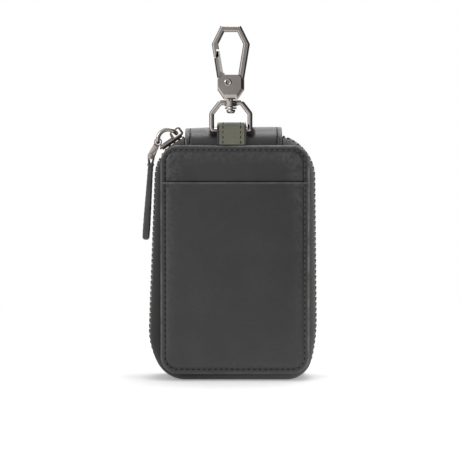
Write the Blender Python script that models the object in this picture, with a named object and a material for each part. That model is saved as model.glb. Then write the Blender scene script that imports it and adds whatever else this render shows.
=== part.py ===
"""A zip-round key holder: two stiffened leather panels, a metal zip round three sides, and a snap hook on top.

Everything is in metres. X runs to the right, Y to the back and Z up, and the case stands on the floor at zero.
The pieces are modelled about the middle of the case, and all are then centred over the origin.
"""

import math

import bmesh
import bpy
from mathutils import Matrix, Vector

# Running gap between pieces that touch, and the overrun of every cut
GAP = 0.0003
OVERRUN = 0.002

# The two panels of the case
PANEL_WIDTH = 0.0650
PANEL_HEIGHT = 0.1000
PANEL_THICKNESS = 0.0018
PANEL_CORNER = 0.0075
PANEL_EDGE_ROUNDING = 0.0004
CASE_DEPTH = 0.0270

# The card pocket sewn on the front panel
POCKET_THICKNESS = 0.0008
POCKET_MOUTH_DROP = 0.0153
POCKET_MOUTH_ROUNDING = 0.0003

# The linings inside the panels
LINING_THICKNESS = 0.0008
LINING_SIDE_INSET = 0.0025
LINING_TOP_INSET = 0.0045

# The line of the zip, measured over the outside of its teeth
ZIP_SIDE_REACH = 0.0029
ZIP_BASE_REACH = 0.0031
ZIP_TOP_REACH = 0.0046
ZIP_TOP_RADIUS = 0.0194
ZIP_BASE_RADIUS_LEFT = 0.0147
ZIP_BASE_RADIUS_RIGHT = 0.0117
ZIP_WAIST_RADIUS_LEFT = 0.0290
ZIP_WAIST_RADIUS_RIGHT = 0.0700
ZIP_WAIST_DEGREES_LEFT = 30
ZIP_WAIST_DEGREES_RIGHT = 14
ZIP_SPREAD_DEGREES_LEFT = 2.3
ZIP_SPREAD_DEGREES_RIGHT = 0.7
ZIP_ARC_STEP_DEGREES = 11.3

# One row of teeth: depth is square to the zip's line, width along it, length across the tape
TOOTH_PITCH = 0.0024
TOOTH_DEPTH = 0.0022
TOOTH_WIDTH = 0.0008
TOOTH_LENGTH = 0.0026
TOOTH_BITE = 0.0002
TOOTH_CORD_DEPTH = 0.0012
TOOTH_CORD_SETBACK = 0.0009
STOP_WIDTH = 0.0009

# The woven tapes
TAPE_THICKNESS = 0.0008
TAPE_TUCK = 0.0010
TAPE_FLANGE = 0.0030
TAPE_BEND = 0.0034
TAPE_SIDE_DROP = 0.0008
TAPE_BEND_STEPS = 4

# The leather bridge over the top
BRIDGE_LEFT_INSET = 0.0107
BRIDGE_RIGHT_INSET = 0.0119
BRIDGE_RISE = 0.0077
BRIDGE_THICKNESS = 0.0015
BRIDGE_TUCK = 0.0031
BRIDGE_STEPS = 20

# The two-layer strap over the bridge
STRAP_OFFSET = -0.0014
STRAP_WIDTH = 0.0126
STRAP_LAYER = 0.0007
STRAP_BACKING_MARGIN = 0.0002
STRAP_STEPS = 26

# The swivel eye that the strap holds
EYE_OFFSET = -0.0018
EYE_WIRE = 0.0022
EYE_SEAT_DEGREES = 43
EYE_HALF_WIDTH = 0.00835
EYE_SHOULDER_HEIGHT = 0.0073
EYE_HEIGHT = 0.0120
EYE_TOP_HALF_WIDTH = 0.0047
EYE_CORNER = 0.0016
EYE_SIDES = 10
HUB_RADIUS = 0.0030
HUB_HEIGHT = 0.0027
HUB_RISE = 0.0011

# The swivel post under the snap hook
POST_RADIUS = 0.0010
POST_SEAT_DEPTH = 0.0030
POST_HEAD_RADIUS = 0.0020
POST_HEAD_HEIGHT = 0.0016
WASHER_RADIUS = 0.0026
WASHER_THICKNESS = 0.0008

# The snap hook, in heights over its base
HOOK_THICKNESS = 0.0034
HOOK_CHAMFER = 0.0007
HOOK_HEIGHT = 0.0322
HOOK_TOP_HALF_WIDTH = 0.0043
HOOK_SHOULDER_HEIGHT = 0.0241
HOOK_SHOULDER_HALF_WIDTH = 0.0083
HOOK_BAR = 0.0029
HOOK_NOSE_HEIGHT = 0.0192
HOOK_LAP = 0.0016
HOOK_LAP_HEIGHT = 0.0026
HOOK_NOSE_SLANT = 0.0010
BASE_THICKNESS = 0.0050
BASE_CHAMFER = 0.0015
BASE_HEIGHT = 0.0111
BASE_HALF_WIDTH = 0.00585
BASE_FOOT_HALF_WIDTH = 0.0030
BASE_HEAD_HALF_WIDTH = 0.0037
BASE_LOW_CORNER = 0.0042
BASE_HIGH_CORNER = 0.0090

# The hook's sprung gate
GATE_PIVOT_OFFSET = -0.00125
GATE_PIVOT_HEIGHT = 0.0075
GATE_EYE_RADIUS = 0.0024
GATE_TAIL_THICKNESS = 0.0015
GATE_TAIL_OFFSET = 0.0005
GATE_SLOT_WIDTH = 0.0029
GATE_TRAVEL_DEGREES = 25
GATE_PIN_RADIUS = 0.0010
GATE_PIN_HEAD_RADIUS = 0.00175
GATE_PIN_HEAD_HEIGHT = 0.0005
SPRING_WIRE = 0.00035
SPRING_RADIUS = 0.0017
SPRING_TURNS = 1.5
SPRING_LEG = 0.0026

# The zip slider, with its places along the zip's line from its own middle
SLIDER_DEGREES = 124.5
SLIDER_MOUTH = 0.0053
SLIDER_REAR = 0.0066
SLIDER_WIDTH = 0.0090
SLIDER_REAR_WIDTH = 0.0080
SLIDER_PLATE = 0.0009
SLIDER_LIP_WIDTH = 0.0008
SLIDER_LIP_DROP = 0.0007
SLIDER_INNER_REAR = 0.0056
SLIDER_INNER_MOUTH = 0.0014
SLIDER_INNER_THICKNESS = 0.0010
CROWN_WIDTH = 0.0020
CROWN_STRIP = 0.0007
CROWN_LEG = 0.0009
CROWN_WINDOW = 0.0036
CROWN_MIDDLE = 0.0031

# The arched pull link, a closed wire loop through the crown and the clasp
LINK_WIRE = 0.0019
LINK_WIDTH = 0.0062
LINK_CORNER = 0.0018
LINK_RADIUS = 0.0046
LINK_END_SETBACK = 0.0057
LINK_END_LIFT = 0.0049
LINK_SIDES = 8

# The clasp between the link and the leather pull
CLASP_WIDTH = 0.0080
CLASP_CHEEK = 0.0009
CLASP_BARREL_RADIUS = 0.0018
CLASP_BARREL_WIDTH = 0.0022
CLASP_HALF_THICKNESS = 0.0016
CLASP_LEAN = 0.0030
CLASP_DROP = 0.0061
CLASP_YOKE_SETBACK = 0.0019
CLASP_PIN_RADIUS = 0.0006
CLASP_PIN_HEAD_RADIUS = 0.0010
CLASP_PIN_HEAD_HEIGHT = 0.0004

# The leather pull
PULL_THICKNESS = 0.0032
PULL_WIDTH = 0.0080
PULL_LENGTH = 0.0372
PULL_LEAN = 0.0025
PULL_NECK = 0.0021
PULL_END_ROUNDING = 0.0030
PULL_EDGE_ROUNDING = 0.0005

# The key plate inside the back, with its hooks
PLATE_SIDE_INSET = 0.0015
PLATE_HEIGHT = 0.0090
PLATE_THICKNESS = 0.0012
PLATE_TOP_DROP = 0.0100
PLATE_CORNER = 0.0020
PLATE_RIVET_RADIUS = 0.0011
PLATE_RIVET_HEAD_RADIUS = 0.0019
PLATE_RIVET_HEAD_HEIGHT = 0.0006
PLATE_RIVET_INSET = 0.0020
KEY_HOOK_COUNT = 4
KEY_HOOK_END_INSET = 0.00975
KEY_HOOK_THICKNESS = 0.0014
KEY_HOOK_BAR = 0.0013
KEY_HOOK_EYE_RADIUS = 0.0026
KEY_HOOK_LENGTH = 0.0235
KEY_HOOK_HALF_WIDTH = 0.0032
KEY_HOOK_MOUTH_TOP = 0.0080
KEY_HOOK_MOUTH = 0.0050
KEY_STUD_RADIUS = 0.0010
KEY_STUD_HEAD_RADIUS = 0.0018
KEY_STUD_HEAD_HEIGHT = 0.0005
KEY_LEAF_THICKNESS = 0.0003
KEY_STUD_DROP = 0.0062

# Counts of facets on arcs and pins
CORNER_STEPS = 5
PIN_SIDES = 16

# Places that follow from the sizes above
PANEL_BOTTOM = ZIP_BASE_REACH
PANEL_TOP = PANEL_BOTTOM + PANEL_HEIGHT
PANEL_MIDDLE = (PANEL_BOTTOM + PANEL_TOP) / 2
PANEL_FACE = CASE_DEPTH / 2
PANEL_BACK = PANEL_FACE - PANEL_THICKNESS
TAPE_FACE = PANEL_BACK - GAP
LINING_FACE = TAPE_FACE - TAPE_THICKNESS - GAP
LINING_BACK = LINING_FACE - LINING_THICKNESS
ZIP_HALF_WIDTH = PANEL_WIDTH / 2 + ZIP_SIDE_REACH - TOOTH_DEPTH / 2
ZIP_LINE_TOP = PANEL_TOP + ZIP_TOP_REACH - TOOTH_DEPTH / 2
ZIP_LINE_BASE = TOOTH_DEPTH / 2
ZIP_LINE_TOP_RADIUS = ZIP_TOP_RADIUS - TOOTH_DEPTH / 2
TOP_ARC_X = ZIP_HALF_WIDTH - ZIP_LINE_TOP_RADIUS
TOP_ARC_Z = ZIP_LINE_TOP - ZIP_LINE_TOP_RADIUS
BRIDGE_LEFT = BRIDGE_LEFT_INSET - PANEL_WIDTH / 2
BRIDGE_RIGHT = PANEL_WIDTH / 2 - BRIDGE_RIGHT_INSET
BRIDGE_HALF_DEPTH = TAPE_FACE
EYE_SEAT = math.radians(EYE_SEAT_DEGREES)
PLATE_WIDTH = PANEL_WIDTH - 2 * (LINING_SIDE_INSET + PLATE_SIDE_INSET)
KEY_HOOK_SPACING = (PLATE_WIDTH - 2 * KEY_HOOK_END_INSET) / (KEY_HOOK_COUNT - 1)


# Materials

def material(name, colour, roughness, metallic):
    """A plain finish of one colour."""
    finish = bpy.data.materials.new(name)
    finish.use_nodes = True
    shader = finish.node_tree.nodes["Principled BSDF"]
    shader.inputs["Base Color"].default_value = (*colour, 1)
    shader.inputs["Roughness"].default_value = roughness
    shader.inputs["Metallic"].default_value = metallic
    return finish


# Solids

def add_object(name, mesh_maker, finish, pivot=(0, 0, 0)):
    """An object made from a bmesh in world places, with its origin moved to the pivot."""
    mesh = bpy.data.meshes.new(name)
    bmesh.ops.translate(mesh_maker, verts=mesh_maker.verts, vec=-Vector(pivot))
    bmesh.ops.recalc_face_normals(mesh_maker, faces=mesh_maker.faces)
    mesh_maker.to_mesh(mesh)
    mesh_maker.free()
    mesh.materials.append(finish)
    part = bpy.data.objects.new(name, mesh)
    part.location = pivot
    bpy.context.scene.collection.objects.link(part)
    return part


def combine(part, operation, name, mesh_maker):
    """A live Boolean on the part, with the other body kept as a hidden guide."""
    guide = add_object(f"{part.name}_{name}", mesh_maker, part.data.materials[0])
    guide.hide_render = True
    guide.display_type = "WIRE"
    modifier = part.modifiers.new(name, "BOOLEAN")
    modifier.operation = operation
    modifier.object = guide
    return part


def round_edges(part, width, segments, least_degrees=50):
    """A live bevel of the edges that turn by more than the least angle."""
    modifier = part.modifiers.new("edge_rounding", "BEVEL")
    modifier.width = width
    modifier.segments = segments
    modifier.limit_method = "ANGLE"
    modifier.angle_limit = math.radians(least_degrees)


def loft(rings, closed=False):
    """A skin over rings of points, capped at both ends or joined round."""
    shape = bmesh.new()
    rows = [[shape.verts.new(point) for point in ring] for ring in rings]
    pairs = list(zip(rows, rows[1:]))
    if closed:
        pairs.append((rows[-1], rows[0]))
    for near, far in pairs:
        for index in range(len(near)):
            following = (index + 1) % len(near)
            shape.faces.new((near[index], near[following], far[following], far[index]))
    if not closed:
        shape.faces.new(reversed(rows[0]))
        shape.faces.new(rows[-1])
    return shape


def prism(outline, start, end, place):
    """An outline pushed from start to end, each of its points set out by the place function."""
    near = [place(across, up, start) for across, up in outline]
    far = [place(across, up, end) for across, up in outline]
    return loft([near, far])


def front_prism(outline, front, back):
    """A prism of an outline in X and Z, from one depth to another."""
    return prism(outline, front, back, lambda x, z, y: (x, y, z))


def side_prism(outline, left, right):
    """A prism of an outline in Y and Z, from one side to the other."""
    return prism(outline, left, right, lambda y, z, x: (x, y, z))


def chamfered_plate(outline, middle, thickness, chamfer):
    """A plate in X and Z whose front and back edges are chamfered all round."""
    shape = front_prism(outline, middle - thickness / 2, middle + thickness / 2)
    shape.normal_update()
    caps = [face for face in shape.faces if abs(face.normal.y) > math.cos(math.radians(10))]
    rims = list({edge for face in caps for edge in face.edges})
    bmesh.ops.bevel(shape, geom=rims, offset=chamfer, segments=1, affect="EDGES")
    return shape


def turned(profile, place, axis=(0, 0, 1), sides=PIN_SIDES):
    """A turned solid: the profile lists radius and height, and closes on the axis or on itself."""
    along = Vector(axis).normalized()
    first = along.orthogonal().normalized()
    second = along.cross(first)
    shape = bmesh.new()
    base = Vector(place)
    rows = []
    for radius, height in profile:
        centre = base + along * height
        if radius == 0:
            rows.append([shape.verts.new(centre)] * sides)
            continue
        turns = [math.tau * index / sides for index in range(sides)]
        spokes = [first * math.cos(turn) + second * math.sin(turn) for turn in turns]
        rows.append([shape.verts.new(centre + spoke * radius) for spoke in spokes])
    pairs = list(zip(rows, rows[1:]))
    if profile[0][0] > 0:
        pairs.append((rows[-1], rows[0]))
    for near, far in pairs:
        for index in range(sides):
            following = (index + 1) % sides
            corners = [near[index], near[following], far[following], far[index]]
            shape.faces.new(list(dict.fromkeys(corners)))
    return shape


def pin(radius, place, length, axis, sides=PIN_SIDES):
    """A plain pin from its place along the axis."""
    return turned([(0, 0), (radius, 0), (radius, length), (0, length)], place, axis, sides)


def tube(points, normals, radius, sides, closed=True):
    """A round wire along points, with its rings turned by the normals."""
    rings = []
    count = len(points)
    for index, (point, normal) in enumerate(zip(points, normals)):
        before = points[(index - 1) % count] if closed or index else point
        after = points[(index + 1) % count] if closed or index < count - 1 else point
        along = (Vector(after) - Vector(before)).normalized()
        across = along.cross(Vector(normal)).normalized()
        upright = across.cross(along)
        ring = []
        for side in range(sides):
            turn = math.tau * (side + 0.5) / sides
            spoke = upright * math.cos(turn) + across * math.sin(turn)
            ring.append(Vector(point) + spoke * radius)
        rings.append(ring)
    return loft(rings, closed)


# Outlines

def rounded_outline(corners, radii, steps=CORNER_STEPS):
    """A closed outline whose corners are rounded, each by its own radius."""
    outline = []
    count = len(corners)
    for index, (corner, radius) in enumerate(zip(corners, radii)):
        point = Vector(corner)
        before = (Vector(corners[index - 1]) - point).normalized()
        after = (Vector(corners[(index + 1) % count]) - point).normalized()
        if radius == 0:
            outline.append(tuple(point))
            continue
        half_angle = before.angle(after) / 2
        reach = radius / math.tan(half_angle)
        centre = point + (before + after).normalized() * (radius / math.sin(half_angle))
        start = point + before * reach - centre
        end = point + after * reach - centre
        for step in range(steps + 1):
            share = step / steps
            spoke = start.slerp(end, share)
            outline.append(tuple(centre + spoke.normalized() * radius))
    return outline


def box_outline(left, right, bottom, top, bottom_radius, top_radius, steps=CORNER_STEPS):
    """A rectangle with rounded lower and upper corners."""
    corners = [(left, bottom), (right, bottom), (right, top), (left, top)]
    radii = [bottom_radius, bottom_radius, top_radius, top_radius]
    return rounded_outline(corners, radii, steps)


# The line of the zip

def arc_run(centre, radius, start, end):
    """A round run of the zip's line: its length, the place and outward normal at a distance, and its steps."""
    def place(distance):
        angle = start + distance / radius
        outward = Vector((math.cos(angle), 0, math.sin(angle)))
        return centre + outward * radius, outward
    return radius * (end - start), place, math.ceil((end - start) / math.radians(ZIP_ARC_STEP_DEGREES))


def straight_run(start, end, outward):
    """A straight run of the zip's line."""
    along = (end - start).normalized()
    return (end - start).length, lambda distance: (start + along * distance, outward), 1


def zip_side(side, spread_degrees, waist_degrees, waist_reach, base_reach):
    """A side that spreads, then turns in toward the base: its ends, normals, and the middles of its two lower curves."""
    spread, waist = math.radians(spread_degrees), math.radians(waist_degrees)
    waist_radius, base_radius = waist_reach - TOOTH_DEPTH / 2, base_reach - TOOTH_DEPTH / 2
    outward = Vector((side * math.cos(spread), 0, math.sin(spread)))
    joining = Vector((side * math.cos(waist - spread), 0, -math.sin(waist - spread)))
    high = Vector((side * TOP_ARC_X, 0, TOP_ARC_Z)) + outward * ZIP_LINE_TOP_RADIUS
    level = high.dot(outward) - waist_radius - (base_radius - waist_radius) * math.cos(waist)
    base_height = ZIP_LINE_BASE + base_radius
    base_centre = Vector(((level - base_height * outward.z) / outward.x, 0, base_height))
    waist_centre = base_centre + joining * (base_radius - waist_radius)
    return outward, high, waist_centre, waist_radius, base_centre, base_radius, spread, waist - spread


def zip_runs():
    """The runs from the bridge's left end, down the left side, round the base and up to its right end."""
    right_end = math.acos((BRIDGE_RIGHT + GAP - TOP_ARC_X) / ZIP_LINE_TOP_RADIUS)
    quarter = math.pi / 2
    down = Vector((0, 0, -1))
    left, high_left, waist_left, waist_radius_left, base_left, base_radius_left, spread_left, turn_left = zip_side(
        -1, ZIP_SPREAD_DEGREES_LEFT, ZIP_WAIST_DEGREES_LEFT, ZIP_WAIST_RADIUS_LEFT, ZIP_BASE_RADIUS_LEFT
    )
    right, high_right, waist_right, waist_radius_right, base_right, base_radius_right, spread_right, turn_right = zip_side(
        1, ZIP_SPREAD_DEGREES_RIGHT, ZIP_WAIST_DEGREES_RIGHT, ZIP_WAIST_RADIUS_RIGHT, ZIP_BASE_RADIUS_RIGHT
    )
    return [
        arc_run(Vector((-TOP_ARC_X, 0, TOP_ARC_Z)), ZIP_LINE_TOP_RADIUS, ZIP_START_ANGLE, math.pi - spread_left),
        straight_run(high_left, waist_left + left * waist_radius_left, left),
        arc_run(waist_left, waist_radius_left, math.pi - spread_left, math.pi + turn_left),
        arc_run(base_left, base_radius_left, math.pi + turn_left, math.pi + quarter),
        straight_run(base_left + down * base_radius_left, base_right + down * base_radius_right, down),
        arc_run(base_right, base_radius_right, -quarter, -turn_right),
        arc_run(waist_right, waist_radius_right, -turn_right, spread_right),
        straight_run(waist_right + right * waist_radius_right, high_right, right),
        arc_run(Vector((TOP_ARC_X, 0, TOP_ARC_Z)), ZIP_LINE_TOP_RADIUS, spread_right, right_end),
    ]


ZIP_START_ANGLE = math.acos((BRIDGE_LEFT - GAP + TOP_ARC_X) / ZIP_LINE_TOP_RADIUS)
ZIP_RUNS = zip_runs()
ZIP_LENGTH = sum(length for length, place, steps in ZIP_RUNS)


def zip_place(distance):
    """The point of the zip's line at a distance, and its outward normal."""
    for length, place, steps in ZIP_RUNS[:-1]:
        if distance <= length:
            return place(distance)
        distance -= length
    return ZIP_RUNS[-1][1](distance)


def zip_stations():
    """Places at the ends of every run of the zip, and between them on the round ones."""
    stations = []
    for length, place, steps in ZIP_RUNS:
        stations += [place(length * step / steps) for step in range(steps)]
    length, place, steps = ZIP_RUNS[-1]
    return stations + [place(length)]


def panel_distance(point):
    """How far a point lies outside the panel's edge, negative inside it."""
    across = abs(point.x) - PANEL_WIDTH / 2 + PANEL_CORNER
    up = abs(point.z - PANEL_MIDDLE) - PANEL_HEIGHT / 2 + PANEL_CORNER
    outside = math.hypot(max(across, 0), max(up, 0))
    return outside + min(max(across, up), 0) - PANEL_CORNER


def tuck_distance(point, outward):
    """How far in from the zip's line the tape meets the back of the panel's edge."""
    near, far = 0, PANEL_CORNER + ZIP_SIDE_REACH
    for halving in range(30):
        middle = (near + far) / 2
        if panel_distance(point - outward * middle) > -TAPE_TUCK:
            near = middle
        else:
            far = middle
    return far


# Case pieces. Side is -1 for the front half and 1 for the back half

def panel(name, side, finish):
    """A stiffened leather panel with its edges turned."""
    outline = box_outline(-PANEL_WIDTH / 2, PANEL_WIDTH / 2, PANEL_BOTTOM, PANEL_TOP, PANEL_CORNER, PANEL_CORNER)
    part = add_object(name, front_prism(outline, side * PANEL_BACK, side * PANEL_FACE), finish)
    round_edges(part, PANEL_EDGE_ROUNDING, 2)
    return part


def card_pocket(finish):
    """The leather sewn on the front panel along three sides, open along its mouth."""
    mouth = PANEL_TOP - POCKET_MOUTH_DROP
    outline = box_outline(
        -PANEL_WIDTH / 2, PANEL_WIDTH / 2, PANEL_BOTTOM, mouth, PANEL_CORNER, POCKET_MOUTH_ROUNDING
    )
    inner = -PANEL_FACE - GAP
    part = add_object("card_pocket", front_prism(outline, inner - POCKET_THICKNESS, inner), finish)
    round_edges(part, POCKET_MOUTH_ROUNDING, 1)
    return part


def lining(name, side, finish):
    """The lining that covers the sewn flange of the tape."""
    reach = PANEL_WIDTH / 2 - LINING_SIDE_INSET
    corner = PANEL_CORNER - LINING_SIDE_INSET
    bottom, top = PANEL_BOTTOM + LINING_SIDE_INSET, PANEL_TOP - LINING_TOP_INSET
    outline = box_outline(-reach, reach, bottom, top, corner, corner)
    return add_object(name, front_prism(outline, side * LINING_BACK, side * LINING_FACE), finish)


def tape_ring(point, outward, side):
    """One section of the tape: its flange behind the panel, its bend, and its edge at the teeth."""
    tuck = tuck_distance(point, outward)
    foot = point - outward * tuck
    level = TOOTH_DEPTH / 2 - TAPE_SIDE_DROP * (1 - max(0, -outward.z))
    reach = tuck + level
    teeth_edge = TOOTH_LENGTH + GAP
    outer = [(-TAPE_FLANGE, TAPE_FACE)]
    inner = [(-TAPE_FLANGE, TAPE_FACE - TAPE_THICKNESS)]
    for step in range(TAPE_BEND_STEPS + 1):
        turn = math.pi / 2 * step / TAPE_BEND_STEPS
        fall = 1 - math.cos(turn)
        outer.append((reach * math.sin(turn), TAPE_FACE - TAPE_BEND * fall))
        inner_bend = TAPE_BEND - TAPE_THICKNESS
        inner.append(((reach - TAPE_THICKNESS) * math.sin(turn), TAPE_FACE - TAPE_THICKNESS - inner_bend * fall))
    outer.append((reach, teeth_edge))
    inner.append((reach - TAPE_THICKNESS, teeth_edge))
    section = outer + inner[::-1]
    return [foot + outward * out + Vector((0, side * depth, 0)) for out, depth in section]


def zip_tape(name, side, finish):
    """The woven tape of one half, from the bridge's left end round to its right end."""
    rings = [tape_ring(point, outward, side) for point, outward in zip_stations()]
    part = add_object(name, loft(rings), finish)
    left, right = BRIDGE_LEFT - GAP, BRIDGE_RIGHT + GAP
    low, high = PANEL_MIDDLE, PANEL_TOP + BRIDGE_RISE
    room = [(left, low), (right, low), (right, high), (left, high)]
    return combine(part, "DIFFERENCE", "bridge_room", front_prism(room, -CASE_DEPTH, CASE_DEPTH))


def tooth_ring(distance, side, depth, tip, root):
    """A rectangle square to the zip's line, between a tip and a root distance from the middle plane."""
    point, outward = zip_place(distance)
    corners = [(-depth, tip), (depth, tip), (depth, root), (-depth, root)]
    return [point + outward * out + Vector((0, side * across, 0)) for out, across in corners]


def zip_chain(name, side, start, end, finish):
    """One row of teeth on its cord. The two rows' teeth lie half a pitch apart."""
    rings = []
    count = int((end - start) / TOOTH_PITCH)

    def cord(distance):
        return tooth_ring(distance, side, TOOTH_CORD_DEPTH / 2, TOOTH_CORD_SETBACK, TOOTH_LENGTH - GAP)

    def tooth(distance):
        return tooth_ring(distance, side, TOOTH_DEPTH / 2, -TOOTH_BITE, TOOTH_LENGTH)

    rings.append(cord(start))
    for index in range(count):
        middle = start + TOOTH_PITCH * (index + 0.5)
        rings.append(tooth(middle - TOOTH_WIDTH / 2))
        rings.append(tooth(middle + TOOTH_WIDTH / 2))
        rings.append(cord(middle + TOOTH_PITCH / 2))
    return add_object(name, loft(rings), finish)


def zip_stop(name, side, distance, finish):
    """The metal clip that ends one row of teeth."""
    rings = []
    for place in (distance, distance + STOP_WIDTH):
        rings.append(tooth_ring(place, side, TOOTH_DEPTH / 2, GAP / 2, TOOTH_LENGTH))
    return add_object(name, loft(rings), finish)


def back_row_ends():
    """Where the back row of teeth starts and ends along the zip's line."""
    return STOP_WIDTH + GAP, ZIP_LENGTH - STOP_WIDTH - GAP


def front_row_start():
    """The front row starts below the slider's rear, half a pitch out of step with the back row."""
    slider_rear = math.radians(SLIDER_DEGREES) + math.atan(SLIDER_REAR / (ZIP_LINE_TOP_RADIUS + TOOTH_DEPTH / 2))
    least = (slider_rear - ZIP_START_ANGLE) * ZIP_LINE_TOP_RADIUS
    back_start, back_end = back_row_ends()
    pitches = math.ceil((least - back_start) / TOOTH_PITCH)
    return back_start + TOOTH_PITCH * (pitches + 0.5)


# The bridge and its strap

def arch_point(turn, offset=0):
    """A point on the bridge's outer face at a turn from its front seam, moved out along its normal."""
    depth, height = -BRIDGE_HALF_DEPTH * math.cos(turn), BRIDGE_RISE * math.sin(turn)
    normal = Vector((depth / BRIDGE_HALF_DEPTH**2, height / BRIDGE_RISE**2)).normalized()
    return Vector((depth, PANEL_TOP + height)) + normal * offset


def eye_centre():
    """Depth and height of the swivel eye's bar, which lies on the bridge's front slope."""
    return arch_point(EYE_SEAT, EYE_WIRE / 2 + GAP)


def top_bridge(finish):
    """The leather arch over the top, tucked behind both panels."""
    foot = PANEL_TOP - BRIDGE_TUCK
    inner_depth = BRIDGE_HALF_DEPTH - BRIDGE_THICKNESS
    inner_rise = BRIDGE_RISE - BRIDGE_THICKNESS
    turns = [math.pi * step / BRIDGE_STEPS for step in range(BRIDGE_STEPS + 1)]
    outer = [(-BRIDGE_HALF_DEPTH * math.cos(turn), PANEL_TOP + BRIDGE_RISE * math.sin(turn)) for turn in turns]
    inner = [(-inner_depth * math.cos(turn), PANEL_TOP + inner_rise * math.sin(turn)) for turn in turns]
    outline = [(-BRIDGE_HALF_DEPTH, foot), *outer, (BRIDGE_HALF_DEPTH, foot)]
    outline += [(inner_depth, foot), *inner[::-1], (-inner_depth, foot)]
    return add_object("top_bridge", side_prism(outline, BRIDGE_LEFT, BRIDGE_RIGHT), finish)


def taut_line():
    """The line of a strap drawn taut over the bridge and the eye's bar, as depth and height."""
    first_turn = math.asin(GAP / BRIDGE_RISE)
    turns = [first_turn + (math.pi - 2 * first_turn) * step / STRAP_STEPS for step in range(STRAP_STEPS + 1)]
    props = [arch_point(turn, GAP) for turn in turns]
    bar = eye_centre()
    reach = EYE_WIRE / 2 + GAP
    for step in range(STRAP_STEPS):
        turn = math.tau * step / STRAP_STEPS
        props.append(bar + Vector((math.cos(turn), math.sin(turn))) * reach)
    hull = []
    for prop in sorted(props, key=lambda point: (point.x, point.y)):
        while len(hull) > 1 and (hull[-1] - hull[-2]).cross(prop - hull[-2]) >= 0:
            hull.pop()
        hull.append(prop)
    return [point for point in hull if point.y >= PANEL_TOP + GAP / 2]


def moved_line(line, distance):
    """A line moved out square to itself, with its two ends kept level."""
    moved = []
    for index, point in enumerate(line):
        before, after = line[max(index - 1, 0)], line[min(index + 1, len(line) - 1)]
        along = (after - before).normalized()
        outward = Vector((-along.y, along.x))
        if index in (0, len(line) - 1):
            outward = Vector((math.copysign(1, point.x), 0))
        moved.append(point + outward * distance)
    return moved


def strap_layer(name, inner_distance, width, finish):
    """One layer of the strap, from seam to seam."""
    line = taut_line()
    inner = moved_line(line, inner_distance)
    outer = moved_line(line, inner_distance + STRAP_LAYER)
    outline = [tuple(point) for point in inner + outer[::-1]]
    left, right = STRAP_OFFSET - width / 2, STRAP_OFFSET + width / 2
    return add_object(name, side_prism(outline, left, right), finish)


# The swivel eye, its post and washer

def eye_pivot():
    """The middle of the swivel eye's bar."""
    depth, height = eye_centre()
    return Vector((EYE_OFFSET, depth, height))


def hub_floor():
    """Height of the hub's lower face."""
    return eye_pivot().z + EYE_HEIGHT + HUB_RISE - HUB_HEIGHT


def hook_base():
    """The middle of the snap hook's lower face, just over the hub."""
    pivot = eye_pivot()
    return Vector((pivot.x, pivot.y, hub_floor() + HUB_HEIGHT + GAP))


def swivel_eye(finish):
    """A six-cornered wire ring with a bored hub in its top bar."""
    pivot = eye_pivot()
    corners = [
        (-EYE_HALF_WIDTH, 0), (EYE_HALF_WIDTH, 0),
        (EYE_HALF_WIDTH, EYE_SHOULDER_HEIGHT), (EYE_TOP_HALF_WIDTH, EYE_HEIGHT),
        (-EYE_TOP_HALF_WIDTH, EYE_HEIGHT), (-EYE_HALF_WIDTH, EYE_SHOULDER_HEIGHT),
    ]
    outline = rounded_outline(corners, [EYE_CORNER] * len(corners), 3)
    points = [pivot + Vector((x, 0, z)) for x, z in outline]
    part = add_object("swivel_eye", tube(points, [(0, 1, 0)] * len(points), EYE_WIRE / 2, EYE_SIDES), finish, pivot)
    foot = Vector((pivot.x, pivot.y, hub_floor()))
    combine(part, "UNION", "hub", pin(HUB_RADIUS, foot, HUB_HEIGHT, (0, 0, 1)))
    bore = POST_RADIUS + GAP
    below = foot - Vector((0, 0, OVERRUN))
    return combine(part, "DIFFERENCE", "post_bore", pin(bore, below, HUB_HEIGHT + 2 * OVERRUN, (0, 0, 1)))


def swivel_post(finish):
    """The rivet that hangs the eye's hub under the hook: a head, and a shank seated in the hook's base."""
    base = hook_base()
    washer_floor = hub_floor() - GAP - WASHER_THICKNESS
    head_top = washer_floor - GAP - base.z
    tip = POST_SEAT_DEPTH - GAP
    domed = POST_HEAD_RADIUS * 0.7
    profile = [
        (0, head_top - POST_HEAD_HEIGHT), (domed, head_top - POST_HEAD_HEIGHT),
        (POST_HEAD_RADIUS, head_top - POST_HEAD_HEIGHT / 2), (POST_HEAD_RADIUS, head_top),
        (POST_RADIUS, head_top), (POST_RADIUS, tip), (0, tip),
    ]
    return add_object("swivel_post", turned(profile, base), finish, base)


def swivel_washer(finish):
    """The flat washer between the hub and the rivet's head."""
    base = hook_base()
    top = hub_floor() - GAP - base.z
    bottom = top - WASHER_THICKNESS
    bore = POST_RADIUS + GAP
    profile = [(bore, bottom), (WASHER_RADIUS, bottom), (WASHER_RADIUS, top), (bore, top)]
    return add_object("swivel_washer", turned(profile, base), finish, base)


# The snap hook

def gate_pivot():
    """The middle of the gate's pin."""
    return hook_base() + Vector((GATE_PIVOT_OFFSET, 0, GATE_PIVOT_HEIGHT))


def hook_side(height, inset=0):
    """Half the hook's width at a height between its base and its shoulders."""
    share = (height - BASE_HIGH_CORNER) / (HOOK_SHOULDER_HEIGHT - BASE_HIGH_CORNER)
    return BASE_HALF_WIDTH + share * (HOOK_SHOULDER_HALF_WIDTH - BASE_HALF_WIDTH) - inset


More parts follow.
